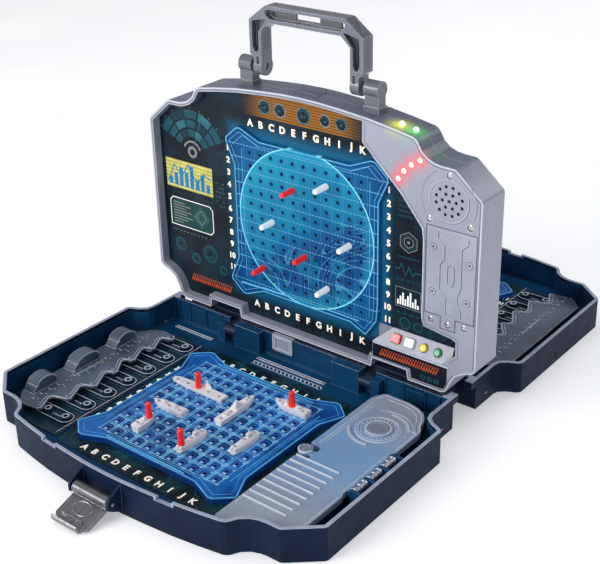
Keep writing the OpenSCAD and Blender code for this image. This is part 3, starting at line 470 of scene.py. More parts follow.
def target_grid_mat(name, s):
    """Lit blue plastic with a radar circle, cell lines and a faint depth chart of its own; light and shade are painted
    in: a light-to-dark gradient, dark holes and an emission glow.
    """
    g = Graph(name)
    x = g.mul(g.X, float(s))
    zz = g.sub(g.Z, GZ * MM)
    r = g.math("SQRT", g.add(g.mul(x, x), g.mul(g.sub(g.Z, 0.1545), g.sub(g.Z, 0.1545))))
    inside = g.ramp(r, 0.0825, 0.0835, 1.0, 0.0)
    diag = g.add(g.mul(x, 0.55), g.mul(zz, -0.85))      # grows towards the lower right
    # painted light: lighter towards the upper left, darker towards the lower right
    lit = g.mix(g.ramp(diag, -0.085, 0.03), (0.006, 0.190, 0.325), (0.005, 0.085, 0.225))
    # darker over the lower right, beyond a wavy line
    wave = g.add(diag, g.mul(g.sub(g.noise(14, 2.0), 0.5), 0.03))
    dark = g.ramp(wave, 0.006, 0.016)
    body = g.mix(g.mul(dark, 0.85), lit, (0.006, 0.040, 0.150))
    outer = g.mix(g.ramp(g.maxv(g.absv(x), g.absv(zz)), 0.070, 0.092), (0.0035, 0.080, 0.215), (0.003, 0.046, 0.155))
    base = g.mix(inside, outer, body)
    # glow inside the circle's edge
    base = g.mix(g.mul(g.ramp(r, 0.066, 0.0828), g.mul(inside, 0.30)), base, (0.015, 0.27, 0.45))
    # chart tiles: blocks of slightly different blue
    tile = g.noise(30, 0.0, vec=g.scaled(1.0, 0.0, 1.0))
    base = g.mix(g.mul(g.ramp(tile, 0.50, 0.56), g.mul(inside, 0.25)), base, (0.012, 0.28, 0.38))
    # depth lines in the darker lower-right part
    cont = g.math("FRACT", g.mul(g.noise(9, 1.2, dist=0.9), 30.0))
    cont = g.ramp(g.absv(g.sub(cont, 0.5)), 0.0, 0.12, 1.0, 0.0)
    base = g.mix(g.mul(cont, g.mul(g.mul(inside, dark), 0.75)), base, (0.055, 0.26, 0.46))
    # rows and columns
    rows = g.ramp(g.lines(g.Z, PITCH * MM, (GZ + PITCH / 2) * MM), 0.00025, 0.0007, 1.0, 0.0)
    cols = g.ramp(g.lines(x, PITCH * MM, PITCH / 2 * MM), 0.0002, 0.0006, 1.0, 0.0)
    dash = g.ramp(g.math("FRACT", g.mul(x, 260.0)), 0.30, 0.42)
    field = g.ramp(g.absv(zz), 0.0755, 0.0765, 1.0, 0.0)
    fieldx = g.ramp(g.absv(x), 0.0755, 0.0765, 1.0, 0.0)
    base = g.mix(g.mul(rows, g.mul(g.mul(dash, 0.75), field)), base, (0.14, 0.42, 0.60))
    base = g.mix(g.mul(cols, g.mul(g.mul(field, fieldx), 0.28)), base, (0.05, 0.28, 0.46))
    # painted shade in the holes: a dark disc at each hole
    u = g.lines(x, PITCH * MM)
    v = g.lines(zz, PITCH * MM)
    hole = g.math("SQRT", g.add(g.mul(u, u), g.mul(v, v)))
    hole_shade = g.mul(g.ramp(hole, 0.0021, 0.0032, 1.0, 0.0), g.mul(field, fieldx))
    base = g.mix(g.mul(hole_shade, 0.6), base, (0.004, 0.035, 0.12))
    # the radar circle
    circ = g.ramp(g.absv(g.sub(r, 0.083)), 0.0003, 0.0009, 1.0, 0.0)
    base = g.mix(g.mul(circ, 0.9), base, (0.25, 0.72, 0.82))
    # painted glow: the grid emits most of its base colour
    em = g.mix(0.82, (0, 0, 0), base)
    h = g.maxv(g.mul(rows, 0.8), g.mul(cols, 0.5))
    return finish_mat(g, base, 0.26, painted_edge_col=(0.35, 0.70, 0.85), painted_edge_amt=0.6, bev=0.5, grain=600, grain_amt=0.10, rvar=0.05, coat=0.0, spec=0.10, emit=em, emit_k=0.40, extra_h=h, extra_k=0.0003)


def ocean_grid_mat(name, s):
    g = Graph(name)
    x = g.mul(g.X, float(s))
    y = g.sub(g.mul(g.Y, float(s)), GY * MM)
    top = g.ramp(g.Z, 0.0132, 0.0137)
    deep = g.ramp(g.noise(16, 2.0, dist=0.4), 0.45, 0.55)
    base = g.mix(g.mul(deep, 0.8), (0.006, 0.088, 0.330), (0.003, 0.026, 0.145))
    tiles = g.ramp(g.noise(60, 0.0), 0.4, 0.62)
    base = g.mix(g.mul(tiles, 0.32), base, (0.015, 0.150, 0.440))
    field = g.mul(g.ramp(g.absv(y), 0.0752, 0.0758, 1.0, 0.0), g.ramp(g.absv(x), 0.0752, 0.0758, 1.0, 0.0))
    # every cell line is a raised wall drawn as a pair of light hairlines, painted highlight, round a dark line of
    # painted shade
    lx, ly = g.lines(x, PITCH * MM, PITCH / 2 * MM), g.lines(y, PITCH * MM, PITCH / 2 * MM)
    groove = g.mul(g.maxv(g.ramp(lx, 0.0004, 0.0007, 1.0, 0.0), g.ramp(ly, 0.0004, 0.0007, 1.0, 0.0)), field)
    base = g.mix(g.mul(groove, 0.7), base, (0.004, 0.020, 0.110))
    # painted highlight on both edges of each cell wall, broken up by noise
    px = g.ramp(g.absv(g.sub(lx, 0.0010)), 0.0002, 0.0005, 1.0, 0.0)
    py = g.ramp(g.absv(g.sub(ly, 0.0010)), 0.0002, 0.0005, 1.0, 0.0)
    broken = g.ramp(g.noise(55, 2.0), 0.36, 0.52, 0.35, 1.0)
    ridge_highlight = g.mul(g.mul(g.maxv(px, py), field), broken)
    base = g.mix(g.mul(ridge_highlight, 1.0), base, (0.26, 0.66, 0.94))
    # painted shade in the sunken well of each hole, with a few short painted highlights by it
    u = g.mul(g.sub(g.math("FRACT", g.add(g.math("DIVIDE", x, PITCH * MM), 0.5)), 0.5), PITCH * MM)
    v = g.mul(g.sub(g.math("FRACT", g.add(g.math("DIVIDE", y, PITCH * MM), 0.5)), 0.5), PITCH * MM)
    hole = g.math("SQRT", g.add(g.mul(u, u), g.mul(v, v)))
    well_shade = g.mul(g.ramp(hole, 0.0022, 0.0036, 1.0, 0.0), field)
    base = g.mix(g.mul(well_shade, 0.9), base, (0.004, 0.020, 0.120))
    mark = g.mul(g.ramp(g.absv(g.sub(g.absv(u), 0.0009)), 0.0003, 0.0006, 1.0, 0.0), g.ramp(g.absv(g.add(v, 0.0033)), 0.0008, 0.0012, 1.0, 0.0))
    mark2 = g.mul(g.ramp(g.absv(g.sub(u, 0.0044)), 0.0009, 0.0012, 1.0, 0.0), g.ramp(g.absv(g.sub(v, 0.0042)), 0.0002, 0.0004, 1.0, 0.0))
    lit = g.mul(g.maxv(mark, mark2), field)
    base = g.mix(g.mul(lit, 0.95), base, (0.62, 0.80, 0.92))
    base = g.mix(top, (0.004, 0.042, 0.215), base)
    # painted glow: the top emits its colour and the side walls a dim blue
    em = g.mix(g.mul(top, 0.8), g.mix(0.5, (0, 0, 0), (0.005, 0.045, 0.22)), base)
    h = g.sub(g.mul(ridge_highlight, 0.6), g.mul(groove, 0.8))
    return finish_mat(g, base, 0.20, painted_edge_col=(0.30, 0.60, 0.90), painted_edge_amt=0.85, bev=0.6, grain=500, grain_amt=0.08, rvar=0.05, coat=0.06, spec=0.15, emit=em, emit_k=0.30, extra_h=h, extra_k=0.0003)


def card_mat(name, s):
    g = Graph(name)
    x = g.mul(g.X, float(s))
    base = g.mix(g.ramp(g.noise(30, 3.0), 0.35, 0.7), (0.004, 0.007, 0.012), (0.008, 0.022, 0.034))
    # hairline survey grid
    hl = g.maxv(g.ramp(g.lines(x, 0.021), 0.0001, 0.0003, 1.0, 0.0), g.ramp(g.lines(g.Z, 0.021), 0.0001, 0.0003, 1.0, 0.0))
    base = g.mix(g.mul(hl, 0.25), base, (0.01, 0.10, 0.13))
    # orange instrument strip along the top, fading out at both ends
    band = g.mul(g.ramp(g.Z, 0.2594, 0.2598), g.ramp(g.absv(g.add(x, 0.004)), 0.040, 0.078, 1.0, 0.0))
    st = g.ramp(g.math("FRACT", g.mul(g.Z, 360.0)), 0.25, 0.55)
    strip = g.mix(st, (0.14, 0.046, 0.007), (0.27, 0.118, 0.021))
    base = g.mix(band, base, strip)
    # light spilling from behind the lit grid
    d = g.maxv(g.sub(g.absv(x), 0.088), g.sub(g.absv(g.sub(g.Z, GZ * MM)), 0.084))
    halo = g.mul(g.ramp(d, 0.0, 0.017, 1.0, 0.0), g.ramp(g.Z, 0.2560, 0.2600, 1.0, 0.0))
    base = g.mix(g.mul(halo, 0.55), base, (0.005, 0.16, 0.34))
    # painted glow: the card emits most of its colour
    em = g.mix(0.75, (0, 0, 0), base)
    return finish_mat(g, base, 0.45, painted_edge_col=(0.2, 0.25, 0.3), painted_edge_amt=0.1, bev=0.0, grain=900, grain_amt=0.05, coat=0.0, spec=0.12, emit=em, emit_k=0.3)


def ocean_card_mat(name, s):
    g = Graph(name)
    base = g.mix(g.ramp(g.noise(24, 3.0), 0.4, 0.7), (0.004, 0.012, 0.018), (0.006, 0.055, 0.075))
    cont = g.math("FRACT", g.mul(g.noise(22, 1.5, dist=0.5), 8.0))
    cont = g.ramp(g.absv(g.sub(cont, 0.5)), 0.0, 0.07, 1.0, 0.0)
    base = g.mix(g.mul(cont, 0.35), base, (0.02, 0.20, 0.24))
    return finish_mat(g, base, 0.45, bev=0.0, grain=900, grain_amt=0.05, coat=0.0, spec=0.15)


def tray_mat(name, s):
    def custom(g, base):
        y = g.mul(g.Y, float(s))
        ax = g.absv(g.X)
        side = g.ramp(y, -0.0750, -0.0700, 0.1935, 0.1770, smooth=False)
        foot = g.ramp(ax, 0.128, 0.143, -0.2830, -0.2640, smooth=False)
        slant = g.sub(g.mul(ax, 0.65), g.mul(y, 0.76))
        within = g.mul(g.mul(g.ramp(g.sub(ax, side), -0.0006, 0.0, 1.0, 0.0), g.ramp(y, -0.0240, -0.0232, 1.0, 0.0)), g.mul(g.ramp(g.sub(y, foot), 0.0, 0.0006), g.ramp(g.Z, 0.0068, 0.0072)))
        within = g.mul(within, g.ramp(slant, 0.3108, 0.3114, 1.0, 0.0))
        inner = g.mix(g.ramp(g.noise(18, 3.0), 0.3, 0.7), (0.0035, 0.036, 0.092), (0.005, 0.058, 0.145))
        base = g.mix(within, base, inner)
        # painted highlight: the rim's top faces and the dips in it are light grey, varied by noise
        rim = g.ramp(g.Z, 0.03305, 0.0333)
        block = g.mul(g.ramp(g.absv(y), 0.0343, 0.0347, 1.0, 0.0), g.ramp(ax, 0.1040, 0.1044, 1.0, 0.0))
        rim = g.mul(rim, g.sub(1.0, block))
        dip = g.mul(g.mul(g.ramp(g.Z, 0.0298, 0.0301), g.ramp(y, -0.2850, -0.2853)), g.mul(g.ramp(ax, 0.0610, 0.0613), g.ramp(ax, 0.0818, 0.0821, 1.0, 0.0)))
        rim = g.maxv(rim, dip)
        rim_highlight_noise = g.ramp(g.noise(60, 3.0), 0.3, 0.7, 0.0, 1.0)
        base = g.mix(rim, base, g.mix(rim_highlight_noise, (0.27, 0.31, 0.40), (0.37, 0.42, 0.52)))
        # painted highlight: a light strip along the floor's ledge near y -40 mm
        kerb = g.mul(g.ramp(g.absv(g.add(y, 0.0403)), 0.0024, 0.0026, 1.0, 0.0), g.mul(g.ramp(g.Z, 0.0082, 0.0086), g.ramp(g.Z, 0.0092, 0.0096, 1.0, 0.0)))
        base = g.mix(g.mul(kerb, 0.9), base, (0.42, 0.46, 0.56))
        return base
    # painted highlight on edges, near white at the top of the rim
    return plastic(name, (0.0050, 0.0140, 0.040), 0.46, var=0.20, painted_edge_col=lambda g: g.mix(g.ramp(g.Z, 0.0322, 0.0332), (0.15, 0.20, 0.31), (0.80, 0.85, 0.92)), painted_edge_amt=0.9, bev=0.8, grain=1100, grain_amt=0.09, coat=0.0, spec=0.09, custom=custom)


def lid_mat(name, s):
    def custom(g, base):
        x, y = g.mul(g.X, float(s)), g.mul(g.Y, float(s))
        blue = g.mul(g.ramp(g.absv(g.add(y, 0.150)), 0.020, 0.085, 1.0, 0.0), g.ramp(g.noise(20, 2.0), 0.3, 0.65, 0.6, 1.0))
        base = g.mix(g.mul(blue, 0.75), base, (0.155, 0.315, 0.56))
        # painted highlight on the rib tops
        ribs = g.mul(g.ramp(g.Z, 0.02752, 0.0278), g.ramp(y, -0.160, -0.162))
        base = g.mix(ribs, base, (0.66, 0.72, 0.80))
        return base
    return plastic(name, (0.285, 0.330, 0.42), 0.28, var=0.10, painted_edge_col=(0.90, 0.94, 1.0), painted_edge_amt=1.0, bev=0.7, grain=900, grain_amt=0.08, coat=0.25, spec=0.4, custom=custom)


def handle_mat():
    def custom(g, base):
        # painted shade: darker in the channel along the middle of the handle's top
        ch = g.ramp(g.absv(g.Y), 0.0035, 0.0062, 1.0, 0.0)
        high = g.ramp(g.Z, 0.322, 0.328)
        return g.mix(g.mul(g.mul(ch, high), 0.75), base, (0.055, 0.055, 0.065))
    return plastic("handle_plastic", (0.125, 0.135, 0.175), 0.26, painted_edge_col=(0.78, 0.81, 0.88), painted_edge_amt=0.95, bev=0.9, grain=1300, grain_amt=0.10, coat=0.35, custom=custom)


def latch_mat():
    g = Graph("latch_gunmetal")
    st = g.noise(300, 3.0, vec=g.scaled(1.0, 0.05, 0.05))
    base = g.mix(g.ramp(st, 0.3, 0.7), (0.13, 0.13, 0.145), (0.20, 0.20, 0.215))
    return finish_mat(g, base, 0.33, painted_edge_col=(0.85, 0.85, 0.87), painted_edge_amt=0.9, bev=0.8, grain=700, grain_amt=0.15, coat=0.15, metal=0.8)


def metal(name, col, rough=0.3):
    g = Graph(name)
    base = g.mix(g.ramp(g.noise(240, 3.0), 0.3, 0.7), shade(col, 0.85), shade(col, 1.1))
    return finish_mat(g, base, rough, painted_edge_col=(0.85, 0.85, 0.86), painted_edge_amt=0.4, bev=0.25, grain=1600, grain_amt=0.1, metal=0.9)


def led_mat(name, col, k):
    g = Graph(name)
    base = g.mix(g.ramp(g.noise(300, 2.0), 0.3, 0.7), shade(col, 0.85), col)
    m = finish_mat(g, base, 0.12, bev=0.3, painted_edge_col=(1, 1, 1), painted_edge_amt=0.3, coat=0.6, emit=g.mix(0.35, base, (1, 1, 1)), emit_k=k)
    return m


def ink(name, col, k=0.35, var=0.12):
    """Printed or lit ink, also used for light lines that are painted highlights: thin layer with a little unevenness
    and a faint painted glow.
    """
    g = Graph(name)
    base = g.mix(g.ramp(g.noise(160, 3.0), 0.3, 0.7), shade(col, 1 - var), shade(col, 1 + var))
    return finish_mat(g, base, 0.45, bev=0.0, grain=900, grain_amt=0.05, spec=0.15, emit=base, emit_k=k * 0.5)


M = {}
for f, s in SIDES:
    M[f + "_shell"] = console_mat(f + "_console_plastic", s)
    M[f + "_target"] = target_grid_mat(f + "_lit_target_grid", s)
    M[f + "_ocean"] = ocean_grid_mat(f + "_lit_ocean_grid", s)
    M[f + "_card"] = card_mat(f + "_printed_card", s)
    M[f + "_ocard"] = ocean_card_mat(f + "_printed_ocean_card", s)
    M[f + "_tray"] = tray_mat(f + "_tray_navy", s)
    M[f + "_lid"] = lid_mat(f + "_lid_plastic", s)
M["cover"] = plastic("cover_plastic", (0.36, 0.375, 0.45), 0.35, painted_edge_col=(0.85, 0.87, 0.92), painted_edge_amt=0.7, bev=0.5, grain=1500, grain_amt=0.15, coat=0.12)
M["spine"] = plastic("spine_plastic", (0.012, 0.022, 0.050), 0.36, painted_edge_col=(0.2, 0.26, 0.38), painted_edge_amt=0.7, bev=0.7, grain_amt=0.1, coat=0.0, spec=0.25)
M["bracket"] = plastic("bracket_plastic", (0.115, 0.120, 0.145), 0.27, painted_edge_col=(0.78, 0.80, 0.86), painted_edge_amt=0.9, bev=0.8, grain_amt=0.10, coat=0.35)
M["handle"] = handle_mat()
M["latch"] = latch_mat()
M["steel"] = metal("plated_steel", (0.56, 0.56, 0.58))
M["bright"] = metal("bright_barrel", (0.50, 0.55, 0.62), 0.25)
M["black"] = plastic("black_plastic", (0.012, 0.012, 0.014), 0.5, bev=0.4)
M["cell"] = plastic("cell_jacket", (0.45, 0.27, 0.06), 0.3, bev=0.4, metal=0.5)
M["board"] = plastic("board_green", (0.03, 0.16, 0.07), 0.45, bev=0.3)
M["led_red"] = led_mat("led_red_lens", (1.0, 0.12, 0.06), 3.5)
M["led_yellow"] = led_mat("led_yellow_lens", (1.0, 0.95, 0.25), 3.0)
M["led_green"] = led_mat("led_green_lens", (0.35, 1.0, 0.45), 2.4)
# painted glow: the pegs emit a little of their own colour
M["peg_red"] = plastic("peg_red_plastic", (0.90, 0.022, 0.012), 0.28, var=0.06, painted_edge_col=(1.0, 0.30, 0.24), painted_edge_amt=0.4, bev=0.5, grain_amt=0.05, coat=0.25, emit=(0.9, 0.02, 0.01), emit_k=0.16)
M["peg_white"] = plastic("peg_white_plastic", (0.90, 0.905, 0.92), 0.28, var=0.03, painted_edge_col=(1, 1, 1), painted_edge_amt=0.4, bev=0.5, grain_amt=0.05, coat=0.25, emit=(0.9, 0.9, 0.92), emit_k=0.22)
M["ship"] = plastic("ship_plastic", (0.79, 0.765, 0.79), 0.42, var=0.06, painted_edge_col=(0.92, 0.90, 0.90), painted_edge_amt=0.55, bev=0.5, grain=1500, grain_amt=0.14)
M["rack"] = plastic("rack_navy", (0.006, 0.033, 0.060), 0.30, var=0.20, painted_edge_col=(0.45, 0.52, 0.62), painted_edge_amt=0.85, bev=0.6, grain_amt=0.08, coat=0.05, spec=0.25)
M["knob"] = plastic("knob_grey", (0.20, 0.22, 0.27), 0.3, painted_edge_col=(0.85, 0.88, 0.93), painted_edge_amt=0.9, bev=0.4, grain_amt=0.1, coat=0.2)
M["pale"] = plastic("pale_grip", (0.42, 0.47, 0.56), 0.3, painted_edge_col=(0.95, 0.97, 1.0), painted_edge_amt=0.8, bev=0.4, grain_amt=0.1, coat=0.2)
M["dock"] = plastic("dock_plastic", (0.066, 0.094, 0.150), 0.24, var=0.42, painted_edge_col=(0.92, 0.94, 0.98), painted_edge_amt=1.0, bev=1.0, grain_amt=0.10, coat=0.25, spec=0.4)
M["clip"] = plastic("clip_plastic", (0.30, 0.33, 0.42), 0.33, painted_edge_col=(0.80, 0.83, 0.90), painted_edge_amt=0.8, bev=0.6, coat=0.2)
for c, col in (("red", (0.75, 0.02, 0.015)), ("white", (0.85, 0.86, 0.88)), ("yellow", (0.85, 0.60, 0.03)), ("green", (0.03, 0.30, 0.11))):
    M["btn_" + c] = plastic("button_%s_plastic" % c, col, 0.25, var=0.05, painted_edge_col=shade(col, 1.6), painted_edge_amt=0.4, bev=0.6, grain_amt=0.05, coat=0.5)
M["ink_teal"] = ink("ink_teal", (0.008, 0.060, 0.082), 0.5)
M["ink_teal2"] = ink("ink_deep_teal", (0.004, 0.030, 0.042), 0.5)
M["ink_aqua"] = ink("ink_aqua", (0.024, 0.12, 0.155), 0.5)
M["ink_grey"] = ink("ink_grey", (0.19, 0.20, 0.21), 0.35)
M["ink_dark"] = ink("ink_dark", (0.006, 0.010, 0.016), 0.1)
M["ink_green"] = ink("ink_dark_green", (0.006, 0.040, 0.036), 0.5)
M["ink_yellow"] = ink("ink_yellow", (0.42, 0.38, 0.045), 0.4)
M["ink_straw"] = ink("ink_straw", (0.55, 0.52, 0.25), 0.4)
M["ink_blue"] = ink("ink_blue", (0.010, 0.16, 0.36), 0.5)
M["ink_orange"] = ink("ink_orange", (0.52, 0.085, 0.025), 0.5)
M["ink_white"] = ink("ink_white", (0.95, 0.94, 0.90), 0.45, 0.03)
M["ink_cream"] = ink("ink_cream", (0.95, 0.72, 0.42), 0.4)
# light lines, mostly laid on edges as painted highlights
M["ink_edge"] = ink("light_line_layer", (0.62, 0.66, 0.74), 0.15)
M["line_cyan"] = ink("line_cyan", (0.10, 0.40, 0.64), 0.6)
M["liner"] = plastic("liner_blue", (0.0055, 0.046, 0.115), 0.26, var=0.28, painted_edge_col=(0.07, 0.17, 0.34), painted_edge_amt=0.7, bev=0.6, grain_amt=0.06, coat=0.0, spec=0.25)
M["groove"] = plastic("groove_grey", (0.085, 0.088, 0.11), 0.5, bev=0.0)
M["bezel"] = plastic("bezel_grey", (0.40, 0.415, 0.49), 0.33, painted_edge_col=(0.9, 0.92, 0.96), painted_edge_amt=0.8, bev=0.4, grain_amt=0.12, coat=0.1)
M["bead"] = plastic("bead_light", (0.62, 0.65, 0.73), 0.32, painted_edge_col=(0.95, 0.97, 1.0), painted_edge_amt=0.8, bev=0.4, grain_amt=0.12, coat=0.1)

SET = {
    "handle": "handle", "handle_brackets": "bracket", "hinge_spine": "spine", "case_screws": "steel", "speakers": "black", "batteries": "cell", "circuit_board": "board",
    "signal_leds": "led_red", "top_led_yellow": "led_yellow", "top_led_green": "led_green", "front_red_target_pegs": "peg_red", "front_white_target_pegs": "peg_white",
    "carrier_peg": "peg_red", "patrol_peg": "peg_red", "submarine_peg": "peg_red", "cruiser_peg": "peg_red"}
for f, s in SIDES:
    SET.update({f + "_shell": f + "_shell", f + "_art_card": f + "_card", f + "_target_grid": f + "_target", f + "_battery_cover": "cover", f + "_tray_shell": f + "_tray",
                f + "_ocean_grid": f + "_ocean", f + "_ocean_card": f + "_ocard", f + "_ship_rack": "rack", f + "_dock_plate": "dock", f + "_deck_lid": f + "_lid",
                f + "_hinge_pins": "steel", f + "_latch_pin": "steel", f + "_latch": "latch", f + "_wall_clip": "clip"})
    for c in ("red", "white", "yellow", "green"):
        SET["%s_%s_button" % (f, c)] = "btn_" + c
for n in ("carrier_ship", "gun_ship", "patrol_boat", "destroyer_ship", "submarine_one", "submarine_two", "cruiser_ship"):
    SET[n] = "ship"
for n, o in NODES.items():
    mat = M[SET[n]]
    if o.data.materials:
        for i in range(len(o.data.materials)):
            o.data.materials[i] = mat
    else:
        o.data.materials.append(mat)


# ------------------------------------------------------------------ printed design of the upright card
def card_art(f, turned):
    names = ("teal", "teal2", "aqua", "grey", "dark", "green", "yellow", "straw", "blue", "orange", "white", "cream")
    A = {n: Batch("%s_card_%s_print" % (f, n), M["ink_" + n], "console", "card", turned) for n in names}
    L = [(-8.79, -8.87), (-8.79, -8.94), (-8.79, -9.01), (-8.79, -9.07)]

    def R(c, x0, z0, x1, z1, l=0):
        A[c].rect(x0, z0, x1, z1, "xz", *L[l])

    def ring(c, at, r0, r1, l=1, a0=0, a1=360):
        A[c].ring(at, r0, r1, "xz", *L[l], a0=a0, a1=a1)

    def disc(c, at, r, l=0):
        A[c].disc(at, r, "xz", *L[l])

    def line(c, pts, w, l=1, closed=False):
        A[c].path(pts, w, "xz", *L[l], closed=closed)

    # sonar fan in the upper left
    c0 = (-150, 203)
    for j, (r0, r1) in enumerate(((17, 25), (27, 35), (37, 46))):
        for i in range(5):
            a0 = 24 + 27 * i
            col = ("teal", "teal2", "teal", "aqua")[(i * 3 + j * 2) % 4]
            ring(col, c0, r0, r1, 0, a0, a0 + 24)
    ring("grey", c0, 10.5, 12.6, 0, 20, 160)
    disc("grey", c0, 6.5, 0)
    disc("dark", c0, 3.4, 1)
    line("aqua", [(c0[0] + 8 * math.cos(1.2), c0[1] + 8 * math.sin(1.2)), (c0[0] + 48 * math.cos(1.2), c0[1] + 48 * math.sin(1.2))], 0.7, 2)
    for k in range(9):
        a = math.radians(26 + 16 * k)
        line("grey", [(c0[0] + 47.2 * math.cos(a), c0[1] + 47.2 * math.sin(a)), (c0[0] + 49.4 * math.cos(a), c0[1] + 49.4 * math.sin(a))], 0.6, 1)
    # yellow striped gauge panel below it
    R("yellow", -190, 158, -124, 190)
    for k in range(8):
        R("straw", -190, 159.4 + 4 * k, -124, 160.8 + 4 * k, 1)
    hs = [8, 14, 21, 17, 25, 12, 19, 9]
    for k, h in enumerate(hs):
        R("blue", -186 + 7.6 * k, 161, -181 + 7.6 * k, 161 + h, 2)
    line("blue", [(-188, 163), (-178, 184), (-168, 172), (-158, 187), (-146, 168), (-136, 181), (-126, 176)], 1.3, 3)
    # teal panel with a clipped outline
    P = [(-187, 114), (-187, 142), (-183, 146), (-130, 146), (-126, 142), (-126, 118), (-130, 114)]
    A["green"].prism(P, "xz", *L[0])
    line("white", P, 0.8, 1, True)
    for k, r in enumerate((11.5, 8, 4.5)):
        line("grey" if k % 2 else "aqua", [(-143 + r, 130), (-143, 130 + r), (-143 - r, 130), (-143, 130 - r)], 0.9, 2, True)
    for k in range(8):
        R("grey", -183, 117.6 + 3.2 * k, -183 + (13 + (k * 7) % 15), 118.8 + 3.2 * k, 1)
    # small square code-like block made of plain dashes
    for k in range(6):
        for j in range(3):
            if (k * 5 + j * 3) % 4:
                R("teal", -120 + 4.6 * j, 150 + 5 * k, -117 + 4.6 * j, 152 + 5 * k)
    # hairlines
    line("teal2", [(-190, 152), (-112, 152)], 0.5, 0)
    line("teal2", [(-156, 114), (-156, 104)], 0.5, 0)
    line("teal2", [(-190, 198), (-168, 198), (-164, 194), (-128, 194)], 0.5, 0)
    for k in range(10):
        R("grey", -186 + 5.2 * k, 107.6, -183.6 + 5.2 * k, 108.4)
    # rings in the lower left
    for at, r in (((-176, 92), 8.0), ((-133, 91), 10.5), ((-154, 80), 6.5), ((-115, 76), 5.5)):
        ring("teal", at, r - 1.5, r, 0)
        ring("teal2", at, r * 0.35, r * 0.62, 0)
        ring("aqua", at, r * 0.70, r * 0.76, 1, 20, 250)
        for k in range(6):
            a = math.radians(60 * k + 15)
            line("teal", [(at[0] + r * 0.35 * math.cos(a), at[1] + r * 0.35 * math.sin(a)), (at[0] + r * 0.8 * math.cos(a), at[1] + r * 0.8 * math.sin(a))], 0.5, 1)
    # hatch along the foot
    for k in range(20):
        x = -163 + 2.9 * k
        A["orange"].prism([(x, 52), (x + 1.1, 52), (x + 3.2, 57), (x + 2.1, 57)], "xz", *L[0])
        A["orange"].prism([(x + 2.6, 57.8), (x + 3.7, 57.8), (x + 4.8, 60.6), (x + 3.7, 60.6)], "xz", *L[0])
        if k < 19:
            A["orange"].prism([(x + 2.7, 53.6), (x + 3.3, 53.6), (x + 1.9, 56.0), (x + 1.3, 56.0)], "xz", *L[1])
    # instrument dials on the orange strip
    for n, (x, r) in enumerate(((-50, 7.4), (-30.5, 7.4), (-2, 8.4), (23.6, 6.4), (42.5, 6.4))):
        at = (x, 270.6)
        disc("dark", at, r, 0)
        ring("aqua" if n % 2 == 0 else "grey", at, r * 0.80, r, 1, 200, 515)
        ring("teal", at, r * 0.52, r * 0.66, 1, 0, 300 - 40 * n)
        ring("grey", at, r * 0.86, r * 0.96, 2, 60 + 30 * n, 170 + 30 * n)
        for k in range(3):
            R("aqua", x - r * 0.3 + k * r * 0.22, 270.6 - r * 0.25, x - r * 0.3 + k * r * 0.22 + r * 0.12, 270.6 - r * 0.25 + r * (0.2 + 0.12 * ((k + n) % 3)), 2)
    # strip on the right of the grid
    for k in range(4):
        R("teal2", 107, 196 + 5 * k, 107 + 18 - 3 * k, 198.6 + 5 * k)
    at = (119, 172)
    for k, r in enumerate((10.5, 8.2, 5.6)):
        line("grey" if k != 1 else "teal", [(at[0] + r * math.cos(math.radians(60 * q + 30)), at[1] + r * math.sin(math.radians(60 * q + 30))) for q in range(6)], 0.8, 1, True)
    disc("grey", at, 1.6, 1)
    line("teal", [(108, 156), (131, 156)], 1.0, 0)
    line("teal", [(104, 143), (109, 143), (112, 149), (116, 137), (120, 147), (124, 139), (127, 143), (134, 143)], 1.5, 1)
    for k in range(5):
        R("teal2", 105 + 6 * k, 131, 109 + 6 * k, 134)
    P = [(105.5, 104), (105.5, 124), (133.5, 124), (133.5, 104)]
    line("grey", P, 0.6, 1, True)
    for k, h in enumerate((5, 9, 13, 7, 11, 15, 6, 10, 4)):
        R("white", 107.4 + 2.8 * k, 106, 109.2 + 2.8 * k, 106 + h, 1)
    for x, r in ((116.5, 6.4), (131.5, 5.4), (145, 5.8), (158.5, 5.0)):
        z = 87
        if x < 139:
            ring("teal", (x, z), r - 1.6, r, 0)
            ring("teal2", (x, z), r * 0.3, r * 0.5, 0)
        else:
            ring("teal2", (x, z), r - 1.3, r, 0)
            disc("teal2", (x, z), r * 0.4, 0)
    for k in range(4):
        R("teal", 107 + 7 * k, 96.5, 111.5 + 7 * k, 98, 0)
    for b in A.values():
        b.done()
    # letters and numbers, lit from behind with a warm edge
    T = Batch(f + "_card_letters", M["ink_white"], "console", "card", turned)
    W = Batch(f + "_card_letter_glow", M["ink_cream"], "console", "card", turned)
    for row in (251.5, 52.0):
        for i, ch in enumerate("ABCDEFGHIJK"):
            at = (-69 + 13.6 * i, row)
            letter(T, ch, at, 9.8, "xz", -8.79, -8.98, 0.020)
            letter(W, ch, (at[0] + 0.25, at[1] - 0.3), 9.8, "xz", -8.79, -8.86, 0.042)
    for i in range(11):
        for x in (96.5, -100.5):
            at = (x, 219.5 - 13.4 * i)
            letter(T, str(i + 1), at, 8.8, "xz", -8.79, -8.98, 0.020)
            letter(W, str(i + 1), (at[0] + 0.25, at[1] - 0.3), 8.8, "xz", -8.79, -8.86, 0.042)
    T.done()
    W.done()


